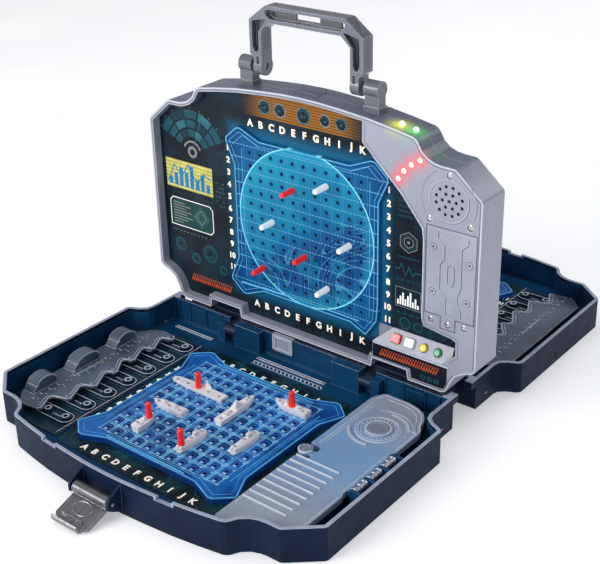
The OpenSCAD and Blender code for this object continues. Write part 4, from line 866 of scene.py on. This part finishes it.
def grid_trim(f, turned):
    """Raised light-cyan outlines of the upright grid and of the ocean grid, with painted highlight and a faint painted
    glow.
    """
    B = Batch(f + "_target_grid_outline", M["line_cyan"], "console", "grid", turned)
    out = [(x, z + GZ) for x, z in inset(grid_outline(True), 0.9)]
    B.path(out, 0.9, "xz", -12.8, -13.5, closed=True)
    inn = [(x, z + GZ) for x, z in inset(grid_outline(True), 5.2)]
    B.path(inn, 0.45, "xz", -12.8, -13.1, closed=True)
    # painted highlight: light bars on the upright grid's lower ledge
    B.path([(-86, 73.4), (-22, 75.6)], 1.7, "xz", -12.8, -13.6)
    B.path([(24, 75.8), (66, 75.2)], 1.2, "xz", -12.8, -13.4)
    for sx in (-1, 1):
        B.path([(sx * 78, 82), (sx * 78, 224)], 0.5, "xz", -12.8, -13.05)
        B.path([(sx * 55, 229), (sx * 76, 238), (sx * 90, 226)], 0.5, "xz", -12.8, -13.05)
    B.done(bevel=0.15)
    B = Batch(f + "_ocean_grid_outline", M["line_cyan"], f + "_tray", "grid", turned)
    out = [(x, y + GY) for x, y in inset(grid_outline(False), 0.9)]
    B.path(out, 0.8, "xy", 13.9, 14.35, closed=True)
    inn = [(x, y + GY) for x, y in inset(grid_outline(False), 6.0)]
    B.path(inn, 0.35, "xy", 13.9, 14.12, closed=True)
    B.path([(-62, GY + 78.5), (62, GY + 78.5)], 0.8, "xy", 13.9, 14.3)
    B.path([(-58, GY - 79.5), (40, GY - 79.5)], 1.3, "xy", 13.9, 14.4)
    B.path([(-80, GY - 60), (-80, GY + 64)], 0.5, "xy", 13.9, 14.15)
    B.path([(80, GY - 64), (80, GY + 64)], 0.5, "xy", 13.9, 14.15)
    B.done(bevel=0.12)
    # short cross dashes carried over the lobes from the rows
    B = Batch(f + "_target_grid_dashes", M["line_cyan"], "console", "grid", turned)
    for k in range(-5, 6):
        z = GZ + (k + 0.5) * PITCH
        if abs(k + 0.5) * PITCH < 72:
            B.rect(-88, z - 0.3, -79.4, z + 0.3, "xz", -12.8, -13.0)
            B.rect(79.4, z - 0.3, 87.4, z + 0.3, "xz", -12.8, -13.0)
    B.done()


def shelf_art(f, turned):
    """Dark panel with hatch and rings below the buttons."""
    D = Batch(f + "_shelf_panel", M["ink_dark"], "console", "card", turned)
    O = Batch(f + "_shelf_hatch", M["ink_orange"], "console", "card", turned)
    T = Batch(f + "_shelf_rings", M["ink_teal"], "console", "card", turned)
    D.prism([(86.3, 46.6), (86.3, 60.6), (170.2, 60.6), (170.2, 44.5), (167.4, 38.4), (164, 37.2), (131.2, 37.2), (129.6, 46.6)], "xz", -18.3, -18.5)
    for k in range(24):
        x = 94 + 2.75 * k
        O.prism([(x, 49.6), (x + 1.0, 49.6), (x + 2.9, 54.6), (x + 1.9, 54.6)], "xz", -18.4, -18.58)
        O.prism([(x + 2.4, 55.2), (x + 3.4, 55.2), (x + 4.4, 57.8), (x + 3.4, 57.8)], "xz", -18.4, -18.58)
        if k < 23:
            O.prism([(x + 2.5, 51), (x + 3.1, 51), (x + 1.8, 53.4), (x + 1.2, 53.4)], "xz", -18.4, -18.62)
    for x in (144, 151.5, 159):
        T.ring((x, 42.3), 1.6, 2.9, "xz", -18.4, -18.58, n=24)
        T.disc((x, 42.3), 0.8, "xz", -18.4, -18.58, n=16)
    D.done()
    O.done()
    T.done()


def tray_letters(f, turned):
    T = Batch(f + "_tray_letters", M["ink_white"], f + "_tray", "card", turned)
    W = Batch(f + "_tray_letter_glow", M["ink_cream"], f + "_tray", "card", turned)
    for y in (-257.5, -68.5):
        for i, ch in enumerate("ABCDEFGHIJK"):
            at = (-68 + 13.6 * i, y)
            letter(T, ch, at, 9.6, "xy", 8.0, 8.3, 0.020)
            letter(W, ch, (at[0] + 0.25, at[1] - 0.25), 9.6, "xy", 8.0, 8.17, 0.042)
    for i in range(11):
        at = (-96.6, -91.5 - 13.6 * i)
        letter(T, str(i + 1), at, 8.4, "xy", 8.0, 8.3, 0.020)
        letter(W, str(i + 1), (at[0] + 0.25, at[1] - 0.25), 8.4, "xy", 8.0, 8.17, 0.042)
    T.done()
    W.done()


# ------------------------------------------------------------------ moulded detail on the housing
def housing_detail(f, turned):
    mat = M["cover"]
    Y = -18.4
    B = Batch(f + "_speaker_bezel", M["bezel"], "console", "console", turned)
    B.ring((166, 227.8), 19.2, 20.6, "xz", Y + 0.1, Y - 0.55, n=56)
    B.ring((166, 227.8), 27.0, 27.9, "xz", Y + 0.1, Y - 0.35, a0=118, a1=212, n=96)
    B.ring((166, 227.8), 27.0, 27.9, "xz", Y + 0.1, Y - 0.35, a0=-28, a1=38, n=96)
    # painted shadow: dark lines beside the raised rings, along the lower half of the inner ring and outside the outer
    # arcs
    G0 = Batch(f + "_speaker_grooves", M["groove"], "console", "console", turned)
    G0.ring((166, 227.8), 20.6, 21.1, "xz", Y + 0.2, Y - 0.05, a0=200, a1=380, n=56)
    G0.ring((166, 227.8), 27.9, 28.4, "xz", Y + 0.2, Y - 0.05, a0=118, a1=212, n=96)
    G0.ring((166, 227.8), 27.9, 28.4, "xz", Y + 0.2, Y - 0.05, a0=-28, a1=38, n=96)
    G0.done()
    B.ring((166, 227.8), 34.5, 35.3, "xz", Y + 0.1, Y - 0.35, a0=160, a1=196, n=96)
    B.path([(150, 262.4 - 2.5), (141, 250), (136, 243)], 0.8, "xz", Y + 0.1, Y - 0.3)
    B.done(bevel=0.15)
    # raised bead in a light colour, a painted highlight along the case's outline, and a dark line inside it
    rim = inset(CONSOLE, 1.0)
    rim2 = inset(CONSOLE, 2.6)
    V = Batch(f + "_case_bead", M["bead"], "console", "console", turned)
    V.path(rim, 1.1, "xz", Y + 0.1, Y - 0.22, closed=True)
    V.done(bevel=0.1)
    N = Batch(f + "_case_groove", M["groove"], "console", "console", turned)
    N.path(rim2[11:44], 0.6, "xz", Y + 0.2, Y - 0.04)
    N.path(rim2[:9], 0.6, "xz", Y + 0.2, Y - 0.04)
    N.path(rim2[-9:], 0.6, "xz", Y + 0.2, Y - 0.04)
    N.done()
    # line along the housing's slanted edge
    N = Batch(f + "_housing_groove", M["groove"], "console", "console", turned)
    N.path([(76.0, 283), (76.0, 264.4), (86.0, 255.0), (117.0, 226.4), (141.4, 196.8), (143.0, 184.4), (143.0, 105.4), (145.2, 99.4), (175.0, 95.4), (180.4, 92.6), (180.8, 75.4), (173, 68.6)], 0.45, "xz", Y + 0.2, Y - 0.04)
    N.done()
    # housing's raised border, drawn as light lines: painted highlight
    E = Batch(f + "_housing_border", M["ink_edge"], "console", "console", turned)
    E.path([(84.6, 252.6), (115.6, 224.2), (139.6, 195.2), (141.1, 184), (141.1, 105)], 0.7, "xz", Y + 0.1, Y - 0.25)
    E.path([(86.4, 61.6), (171.0, 61.6)], 0.9, "xz", Y + 0.1, Y - 0.35)
    E.done(bevel=0.1)
    # circuit-like moulding on the battery cover: a light raised line as painted highlight, with a dark line beside it
    # as painted shadow
    C = Batch(f + "_cover_moulding", M["pale"], "console", "console", turned)
    D = Batch(f + "_cover_grooves", M["groove"], "console", "console", turned)
    y0, y1 = Y + 0.1, Y - 0.42

    def double(pts, w=0.7, closed=False):
        C.path(pts, w, "xz", y0, y1, closed=closed)
        D.path([(x + 0.75, z - 0.45) for x, z in pts], 0.65, "xz", Y + 0.2, Y - 0.05, closed=closed)
    double([(156, 197), (156, 190.5), (163, 184.5), (163, 171), (158.6, 165.6), (158.6, 141), (165.6, 133.4), (165.6, 117)])
    double([(187, 197), (187, 191), (180.8, 185.5), (180.8, 146), (177.4, 138), (177.4, 130), (181.4, 124), (181.4, 117)])
    # painted shadow round each pale ring and in its middle
    for p in ((151.4, 181), (189.2, 172), (151.6, 136), (187.6, 134)):
        C.ring(p, 2.2, 3.1, "xz", y0, y1, n=28)
        D.ring(p, 3.1, 3.7, "xz", Y + 0.2, Y - 0.05, n=28)
        D.disc(p, 1.1, "xz", Y + 0.2, Y - 0.05, n=18)
    # capsule in the middle
    cap = [(170 + 3.4 * math.cos(math.radians(a)), 163.4 + 3.4 * math.sin(math.radians(a))) for a in range(0, 181, 15)] + [(170 + 3.4 * math.cos(math.radians(a)), 150 + 3.4 * math.sin(math.radians(a))) for a in range(180, 361, 15)]
    double(cap, 0.6, True)
    # inner step that follows the cover's outline
    C.path([(146.4, 116), (146.4, 198.4), (193.6, 198.4), (193.6, 116)], 0.5, "xz", y0, Y - 0.26)
    for k in range(4):
        C.rect(166.4 + 0.0, 119.4 + 2.3 * k, 173.0 - 1.1 * (k % 2), 120.1 + 2.3 * k, "xz", y0, Y - 0.24)
    C.done(bevel=0.12)
    D.done()
    # shadow gap round the cover
    G = Batch(f + "_cover_gap", M["groove"], "console", "console", turned)
    G.path([(144.0, 113.4), (161.1, 113.4), (161.1, 101.1), (176.9, 101.1), (176.9, 113.4), (196.0, 113.4), (196.0, 201.1), (144.0, 201.1)], 0.9, "xz", Y + 0.3, Y - 0.08, closed=True)
    G.done()
    # bosses round the screws
    S = Batch(f + "_screw_bosses", M["pale"], "console", "console", turned)
    for p in ((166, 251.6), (146.5, 206.7), (188.5, 208), (151, 107), (186, 108)):
        S.ring(p, 3.5, 4.3, "xz", Y + 0.1, Y - 0.3, n=30)
    S.done(bevel=0.12)
    # collars of the push buttons, on the slope
    SA = math.atan2(78.6 - 62.8, -8.8 + 18.4)
    K = Batch(f + "_button_collars", M["bracket"], "console", "console", turned)
    for k, x in enumerate((110.5, 126, 141.5, 157)):
        cy, cz = -13.6, 70.7
        n = 36
        vs, fs = [], []
        for i in range(n):
            t = 2 * math.pi * i / n
            co, si = math.cos(t), math.sin(t)
            for r, h in ((0.0, -0.1), (0.9, -0.1), (0.75, 0.4), (0.15, 0.4)):
                if k < 2:
                    a, b = 5.6 + r, 4.8 + r
                    q = 1.0 / (abs(co) ** 5 + abs(si) ** 5) ** 0.2
                    u, v = a * co * q, b * si * q
                else:
                    u, v = (4.45 + r) * co, (4.45 + r) * si
                # slope frame: v runs up the slope, h along its outward normal
                vs.append((x + u, cy + v * math.cos(SA) - h * math.sin(SA), cz + v * math.sin(SA) + h * math.cos(SA)))
        for i in range(n):
            j = (i + 1) % n
            for q in range(4):
                fs.append([4 * i + q, 4 * j + q, 4 * j + (q + 1) % 4, 4 * i + (q + 1) % 4])
        K.mesh(vs, fs)
    K.done(smooth=40)


# ------------------------------------------------------------------ trays
def tray_detail(f, turned):
    body = f + "_tray"
    W = Batch(f + "_tray_liner", M["liner"], body, "tray", turned)
    # blue inner skin of the side and front walls, in one run clear of the hinge wall
    inner, inner2 = inset(TRAY, 3.38), inset(TRAY, 3.75)
    n = len(inner)

    def skin(idx, z0, z1):
        base = len(W.v)
        for i in idx:
            a, b = inner[i], inner2[i]
            W.v += [(a[0], a[1], z0), (b[0], b[1], z0), (b[0], b[1], z1), (a[0], a[1], z1)]
        for k in range(len(idx) - 1):
            for q in range(4):
                W.f.append([base + 4 * k + q, base + 4 * (k + 1) + q, base + 4 * (k + 1) + (q + 1) % 4, base + 4 * k + (q + 1) % 4])
        W.f.append([base + q for q in range(4)][::-1])
        W.f.append([base + 4 * (len(idx) - 1) + q for q in range(4)])
    skin(list(range(1, n - 1)), 7.45, 29.8)
    # panels on the inside of the hinge wall
    for x0, x1 in ((-46, 46), (105, 168), (-168, -105)):
        W.box((x0, -24.9, 7.45), (x1, -24.28, 32.6))
    W.done()
    # upright ribs and mouldings on the hinge wall
    R = Batch(f + "_tray_wall_ribs", M["liner"], body, "tray", turned)
    for x in (-168, -152, -128, -106, 106, 128, 152, 168):
        R.box((x - 0.8, -26.2, 10.2), (x + 0.8, -24.2, 32.4))
    for x in (-44, 44):
        R.box((x - 0.8, -26.2, 10.2), (x + 0.8, -24.2, 32.4))
    for x0, x1 in ((-150, -130), (130, 150)):
        R.box((x0, -25.5, 13), (x1, -24.6, 28))
    R.done(bevel=0.3)
    # light lines along the floor behind the grid: painted highlights on the floor's step edges, and a row of short
    # slanted ticks between two thin lines
    E = Batch(f + "_tray_floor_lines", M["ink_edge"], body, "tray", turned)
    for x0, x1 in ((-160, -107), (-44, 44), (107, 160)):
        E.rect(x0, -39.05, x1, -38.35, "xy", 8.7, 8.95)
        E.rect(x0, -42.25, x1, -41.35, "xy", 8.7, 8.98)
    for k in range(18):
        x = -44 + 5.1 * k
        E.prism([(x, -46.0), (x + 1.5, -46.0), (x + 3.3, -48.8), (x + 1.8, -48.8)], "xy", 7.3, 7.62)
    E.rect(-44, -45.2, 44, -44.7, "xy", 7.3, 7.6)
    E.rect(-44, -50.2, 44, -49.8, "xy", 7.3, 7.6)
    E.done()


def barrels(f, turned):
    """Bright barrels with bands round the storage lid's hinge."""
    B = Batch(f + "_lid_barrels", M["bright"], f + "_lid", "lid", turned)
    for y0, y1 in ((-185.7, -169.3), (-164.7, -148.3), (-143.7, -127.3)):
        L = y1 - y0
        prof = [(4.1, 0), (4.75, 0.2), (4.95, 0.9), (4.95, 2.2), (4.5, 2.6), (4.5, L / 2 - 0.9), (4.85, L / 2 - 0.6), (4.85, L / 2 + 0.6), (4.5, L / 2 + 0.9), (4.5, L - 2.6), (4.95, L - 2.2), (4.95, L - 0.9), (4.75, L - 0.2), (4.1, L)]
        B.lathe((184.6, y0, 26), "y", prof, n=30)
    B.done(smooth=30)


def lid_detail(f, turned):
    body = f + "_lid"
    E = Batch(f + "_lid_lines", M["ink_edge"], body, "lid", turned)
    z0, z1 = 26.9, 27.22
    # dial marks
    for k in range(24):
        a = math.radians(15 * k)
        r0, r1 = 15.0, 17.0 if k % 2 else 17.8
        p, q = (148 + r0 * math.cos(a), -97 + r0 * math.sin(a)), (148 + r1 * math.cos(a), -97 + r1 * math.sin(a))
        E.path([p, q], 0.5, "xy", z0, z1)
    E.ring((148, -97), 11.2, 11.9, "xy", 28.3, 28.62, n=56)
    E.ring((148, -97), 18.4, 18.9, "xy", 27.6, 27.95, n=72)
    E.ring((148, -97), 21.0, 21.4, "xy", 26.9, 27.6, n=72)
    # narrow light line round the lid: painted highlight along its edge
    E.path([(114.6, -246.4), (114.6, -254), (118, -257)], 0.5, "xy", z0, z1)
    E.path([(178.9, -197.4), (178.9, -245.4)], 0.5, "xy", z0, z1)
    E.path([(176.9, -122), (176.9, -191)], 0.45, "xy", z0, z1)
    E.path([(115.4, -57.6), (121.6, -45.4), (145.8, -45.6), (157.2, -48.1), (165.4, -52.9), (169.4, -58.2), (172.2, -63.4), (174.6, -69.6), (176.4, -72.8), (178.5, -75.6), (179.2, -80.8), (179.2, -116)], 0.6, "xy", z0, z1)
    E.path([(125.6, -50.4), (145.2, -50.4), (155.4, -52.8), (163, -57.6), (168.4, -65.6), (172.6, -76), (173.4, -84)], 0.4, "xy", z0, z1)
    E.path([(118.4, -62), (118.4, -146)], 0.5, "xy", z0, z1)
    E.path([(121.4, -66), (121.4, -140)], 0.35, "xy", z0, z1)
    # painted highlight on the tops of the nine ribs
    for k in range(9):
        E.rect(113.4, -244.2 + 9 * k, 159.6, -243.6 + 9 * k, "xy", 27.9, 28.12)
    E.done()
    K = Batch(f + "_lid_knob", M["knob"], body, "lid", turned)
    K.lathe((115, -161.5, 0), "z", [(6.0, 28.9), (6.0, 29.4), (5.6, 29.65), (4.6, 29.65), (4.3, 29.35), (0.4, 29.35)], n=36)
    K.lathe((148, -97, 0), "z", [(10.2, 28.2), (10.2, 28.6), (9.9, 28.8), (8.2, 28.8), (7.9, 28.5), (0.5, 28.5)], n=44)
    K.done(smooth=40)
    # crescent grips
    C = Batch(f + "_lid_crescents", M["pale"], body, "lid", turned)
    C.ring((148, -97), 25.4, 28.6, "xy", 26.9, 28.1, a0=205, a1=282, n=72)
    C.ring((148, -97), 26.0, 29.0, "xy", 26.9, 28.1, a0=28, a1=98, n=72)
    C.done(bevel=0.4)


def rack_detail(f, turned):
    body = f + "_tray"
    # painted highlights: light rings and lines on the rack's moulded edges
    R = Batch(f + "_rack_rings", M["ink_edge"], body, "rack", turned)
    for y in (-75, -102.5, -130, -157.5, -185, -212.5, -240):
        for x in (-139, -114):
            R.ring((x, y), 2.5, 3.0, "xy", 14.5, 14.72, n=28)
            R.ring((x, y), 3.45, 3.8, "xy", 14.5, 14.68, n=28)
        arc = [(-114 + 7.8 * math.cos(math.radians(a)), y + 7.8 * math.sin(math.radians(a))) for a in range(-90, 91, 15)]
        R.path([(-153.6, y - 7.8)] + arc + [(-153.6, y + 7.8)], 0.5, "xy", 12.3, 12.55)
        R.path([(-132, y), (-121.4, y)], 0.5, "xy", 10.7, 10.95)
    R.rect(-105.0, -259.6, -104.5, -60.4, "xy", 10.7, 10.95)
    R.done()
    # dock plate: painted highlight along its wavy edge, ticks and rivets
    edge = [(-164, -254), (-141, -251), (-138.5, -248), (-147, -231), (-144, -227), (-131, -223), (-128.5, -219.5), (-138, -199), (-136, -195), (-128, -192), (-126, -188), (-137, -167), (-135.5, -163), (-130.5, -161), (-129, -157), (-141, -140), (-139.5, -136), (-134, -134), (-132, -130), (-141.5, -110), (-140, -106.6), (-134, -104.6), (-132, -101), (-141, -84), (-139, -80), (-131, -78), (-129.5, -75), (-133, -70.6), (-150, -69)]
    E = Batch(f + "_dock_lines", M["ink_edge"], body, "dock", turned)
    E.path([(x - 1.2, y) for x, y in edge[1:-1]], 0.55, "xy", 18.0, 18.25)
    E.path([(x - 4.6, y) for x, y in edge[2:-3]], 0.35, "xy", 18.0, 18.2)
    for k in range(15):
        y = -242 + 10.6 * k
        E.rect(-160.8, y, -156.6, y + 0.6, "xy", 18.0, 18.22)
        E.rect(-155.6, y + 3, -153.6, y + 3.5, "xy", 18.0, 18.22)
    E.done()
    if not turned:
        # painted highlight along the edges of the cradles
        A = Batch(f + "_cradle_lines", M["ink_edge"], body, "dock", turned)
        for yc, l in ((-222, 31), (-168, 37), (-113, 31)):
            a0, a1 = yc - l * 0.3, yc + l / 2
            arc = [(a0 + (a1 - a0) * (1 - math.cos(math.pi * i / 14)) / 2, 24.5 + 6.2 * math.sin(math.pi * i / 14)) for i in range(15)]
            pts = [(yc - l / 2, 17.6), (yc - l * 0.34, 24.3)] + arc[:-1] + [(a1, 24.3), (a1, 18.2)]
            C2 = inset(pts, 0.9)
            A.path(C2[1:-1], 0.5, "yz", -163.62, -163.34)
        A.done()
    P = Batch(f + "_dock_rivets", M["dock"], body, "dock", turned)
    for y in (-246, -238, -199, -191, -145, -137, -132, -92, -84):
        P.lathe((-160, y, 0), "z", [(1.5, 18.0), (1.5, 18.6), (1.0, 19.0), (0.2, 19.1)], n=16)
    for y in (-242, -232, -208, -176, -150, -122, -94):
        P.lathe((-150, y, 0), "z", [(1.2, 18.0), (1.2, 18.5), (0.8, 18.8), (0.2, 18.85)], n=14)
    P.done(smooth=40)


def latch_detail(f, turned):
    # a plain end cap on each side of the barrel
    B = Batch(f + "_latch_caps", M["latch"], f + "_latch", "latch", turned)
    for s in (-1, 1):
        x0 = s * 20.4
        B.lathe((x0, -309.5, 16), "x", [(5.2, 0.0), (5.2, s * 0.5), (4.2, s * 1.0), (3.0, s * 1.2)] if s > 0 else [(3.0, s * 1.2), (4.2, s * 1.0), (5.2, s * 0.5), (5.2, 0.0)], n=32)
    B.done(smooth=40)


def clip_detail(f, turned):
    C = Batch(f + "_clip_panel", M["ink_edge"], f + "_tray", "clip", turned)
    C.path([(-34.2, 15.8), (-34.2, 32.6), (-9.8, 32.6), (-9.8, 15.8)], 0.6, "xz", -26.3, -26.62)
    C.path([(-31.5, 18), (-31.5, 31), (-12.5, 31), (-12.5, 18)], 0.5, "xz", -26.3, -26.58, closed=True)
    C.done()


for f, s in SIDES:
    t = s < 0
    card_art(f, t)
    grid_trim(f, t)
    shelf_art(f, t)
    tray_letters(f, t)
    housing_detail(f, t)
    tray_detail(f, t)
    barrels(f, t)
    lid_detail(f, t)
    rack_detail(f, t)
    latch_detail(f, t)
    clip_detail(f, t)

# seams across the top of the case
S = Batch("case_top_seams", M["groove"], "console", "console")
S.mesh([(79.6, -18.5, 286.95), (80.4, -18.5, 286.85), (80.4, 18.5, 286.85), (79.6, 18.5, 286.95), (79.6, -18.5, 287.10), (80.4, -18.5, 286.98), (80.4, 18.5, 286.98), (79.6, 18.5, 287.10)],
       [[0, 1, 2, 3], [7, 6, 5, 4], [0, 4, 5, 1], [1, 5, 6, 2], [2, 6, 7, 3], [3, 7, 4, 0]])
S.done()


# ------------------------------------------------------------------ small parts of the ships
def ship(name, c, r, d, build):
    """c, r: column and row of the stern hole; d: quarter turns of the bow from +X."""
    B = Batch(name + "_fittings", M["ship"], name, "ship")
    build(B)
    ox, oy, oz = (c - 5) * PITCH, GY + (5 - r) * PITCH, 14.05
    co, si = ((1, 0), (0, 1), (-1, 0), (0, -1))[d]
    B.v = [(ox + co * x - si * y, oy + si * x + co * y, oz + z) for x, y, z in B.v]
    B.done(bevel=0.16)


def gun(B, x, y, z, a):
    """Small turret with a barrel pointing along x (a = 1 or -1)."""
    B.lathe((x, y, 0), "z", [(1.7, z), (1.7, z + 0.8), (1.3, z + 1.4), (0.4, z + 1.5)], n=14)
    B.box((min(x, x + a * 4.2), y - 0.32, z + 0.6), (max(x, x + a * 4.2), y + 0.32, z + 1.25))


def b_carrier(B):
    B.box((19.2, -4.95, 11.4), (20.0, -4.35, 14.8))
    B.box((18.3, -5.15, 11.5), (20.8, -4.2, 12.2))
    B.box((15.0, -5.5, 7.7), (15.8, -4.1, 8.7))
    B.box((24.6, -5.6, 5.5), (27.4, -4.6, 6.7))
    for x, y in ((6.8, 4.4), (20.4, 4.7), (34.0, 4.5), (47.6, 3.6)):
        B.box((x - 1.8, y - 0.5, 5.5), (x + 1.8, y + 0.3, 6.05))
    for x in (6.8, 34.0):
        B.box((x - 1.8, -4.9, 5.5), (x + 1.8, -4.2, 6.05))
    B.box((-5.9, -4.6, 5.5), (-5.3, 4.6, 6.0))
    for x in (6.8, 20.4, 34.0, 47.6):
        B.box((x - 2.4, -0.2, 5.5), (x + 2.4, 0.2, 5.72))


def b_gun(B):
    gun(B, 6.8, 0, 7.3, 1)
    gun(B, 20.4, 0, 7.4, 1)
    B.box((-4.6, -2.8, 5.9), (-3.6, 2.8, 6.8))
    B.box((30.2, -0.7, 5.9), (31.4, 0.7, 6.9))
    for x in (6.8, 20.4):
        B.box((x - 1.2, -4.6, 5.9), (x + 1.2, -3.9, 6.6))
        B.box((x - 1.2, 3.9, 5.9), (x + 1.2, 4.6, 6.6))


def b_patrol(B):
    B.ring((0, 0), 2.7, 3.4, "xy", 8.1, 8.5, n=32)
    B.box((5.0, -1.8, 6.9), (8.8, 1.8, 9.4))
    B.box((5.8, -1.3, 9.3), (7.8, 1.3, 10.2))
    B.box((6.5, -0.35, 10.1), (7.1, 0.35, 12.6))
    B.box((-4.9, -2.4, 6.9), (-4.2, 2.4, 7.7))


def b_destroyer(B):
    B.box((20.3, -0.4, 11.7), (21.1, 0.4, 16.2))
    B.box((20.4, -1.9, 13.8), (21.0, 1.9, 14.3))
    B.box((19.0, -1.6, 11.7), (22.4, 1.6, 12.5))
    B.box((17.2, -2.3, 9.5), (18.2, 2.3, 10.1))
    gun(B, 34.0, 0, 7.2, 1)
    gun(B, 6.8, 0, 7.5, -1)
    B.box((-4.8, -2.4, 5.9), (-3.8, 2.4, 6.8))


def b_sub(B):
    B.box((18.4, -0.35, 9.5), (19.1, 0.35, 13.2))
    B.box((18.4, -0.3, 12.7), (20.6, 0.3, 13.3))
    B.box((20.6, -0.9, 9.5), (21.4, 0.9, 10.1))
    B.box((5.2, -1.0, 6.0), (8.4, 1.0, 6.6))
    for x in (17.0, 21.0):
        B.box((x - 0.5, -2.15, 8.2), (x + 0.5, 2.15, 8.7))


def b_cruiser(B):
    gun(B, 6.4, 0, 8.1, -1)
    B.box((18.0, -1.6, 7.9), (20.8, 1.6, 9.6))
    B.box((19.1, -0.35, 9.5), (19.8, 0.35, 12.8))
    B.box((18.6, -1.3, 11.2), (20.3, 1.3, 11.6))
    B.box((-5.0, -2.4, 6.3), (-4.1, 2.4, 7.1))
    B.box((29.4, -0.6, 7.4), (30.6, 0.6, 8.3))


ship("carrier_ship", 4, 3, 2, b_carrier)
ship("gun_ship", 3, 6, 2, b_gun)
ship("patrol_boat", 2, 9, 1, b_patrol)
ship("destroyer_ship", 6, 5, 1, b_destroyer)
ship("submarine_one", 6, 9, 1, b_sub)
ship("submarine_two", 9, 7, 1, b_sub)
ship("cruiser_ship", 10, 1, 2, b_cruiser)

# ------------------------------------------------------------------ floor, light, camera
g = Graph("studio_floor")
fl = g.mix(g.ramp(g.noise(3, 2.0), 0.3, 0.7), (0.86, 0.86, 0.87), (0.90, 0.90, 0.905))
finish_mat(g, fl, 0.7, bev=0.0, grain=200, grain_amt=0.02, spec=0.1, emit=fl, emit_k=0.34)
me = bpy.data.meshes.new("floor")
me.from_pydata([(-12, -12, -0.0004), (12, -12, -0.0004), (12, 12, -0.0004), (-12, 12, -0.0004)], [], [[0, 1, 2, 3]])
me.materials.append(g.m)
floor = bpy.data.objects.new("studio_floor", me)
bpy.context.scene.collection.objects.link(floor)

world = bpy.data.worlds.new("studio")
bpy.context.scene.world = world
world.use_nodes = True
world.node_tree.nodes["Background"].inputs[0].default_value = (0.95, 0.97, 1.0, 1.0)
world.node_tree.nodes["Background"].inputs[1].default_value = 0.42


def area(name, loc, aim, size, power, col=(1, 1, 1)):
    li = bpy.data.lights.new(name, "AREA")
    li.shape = "RECTANGLE"
    li.size, li.size_y = size
    li.energy = power
    li.color = col
    o = bpy.data.objects.new(name, li)
    bpy.context.scene.collection.objects.link(o)
    o.location = loc
    o.rotation_mode = "QUATERNION"
    o.rotation_quaternion = (Vector(aim) - Vector(loc)).to_track_quat("-Z", "Y")
    return o


area("overhead_softbox", (-0.3, -0.2, 2.3), (0, 0, 0), (2.2, 2.2), 13)
area("key_softbox", (-1.0, -2.3, 1.05), (0, 0, 0.15), (1.5, 1.2), 44)
area("right_fill", (2.2, -0.9, 1.1), (0, 0, 0.15), (1.2, 1.2), 7, (0.92, 0.96, 1.0))
area("back_fill", (0.6, 2.4, 1.2), (0, 0, 0.15), (1.5, 1.2), 14, (0.96, 0.98, 1.0))

yaw, pitch, roll = -0.6875, -0.4383, -0.0261
fwd = Vector((math.sin(yaw) * math.cos(pitch), math.cos(yaw) * math.cos(pitch), math.sin(pitch)))
right = Vector((math.cos(yaw), -math.sin(yaw), 0))
up = right.cross(fwd)
r_ = math.cos(roll) * right + math.sin(roll) * up
u_ = -math.sin(roll) * right + math.cos(roll) * up
cd = bpy.data.cameras.new("photo_camera")
cd.sensor_fit = "HORIZONTAL"
cd.sensor_width = 36
cd.lens = 70.41
cd.shift_x = 0.01333
cd.shift_y = -0.05145
cd.clip_start, cd.clip_end = 0.01, 60
cam = bpy.data.objects.new("photo_camera", cd)
bpy.context.scene.collection.objects.link(cam)
cam.matrix_world = Matrix(((r_.x, u_.x, -fwd.x, 0.65632), (r_.y, u_.y, -fwd.y, -0.83227), (r_.z, u_.z, -fwd.z, 0.62477), (0, 0, 0, 1)))
bpy.context.scene.camera = cam
bpy.context.scene.view_settings.view_transform = "Standard"
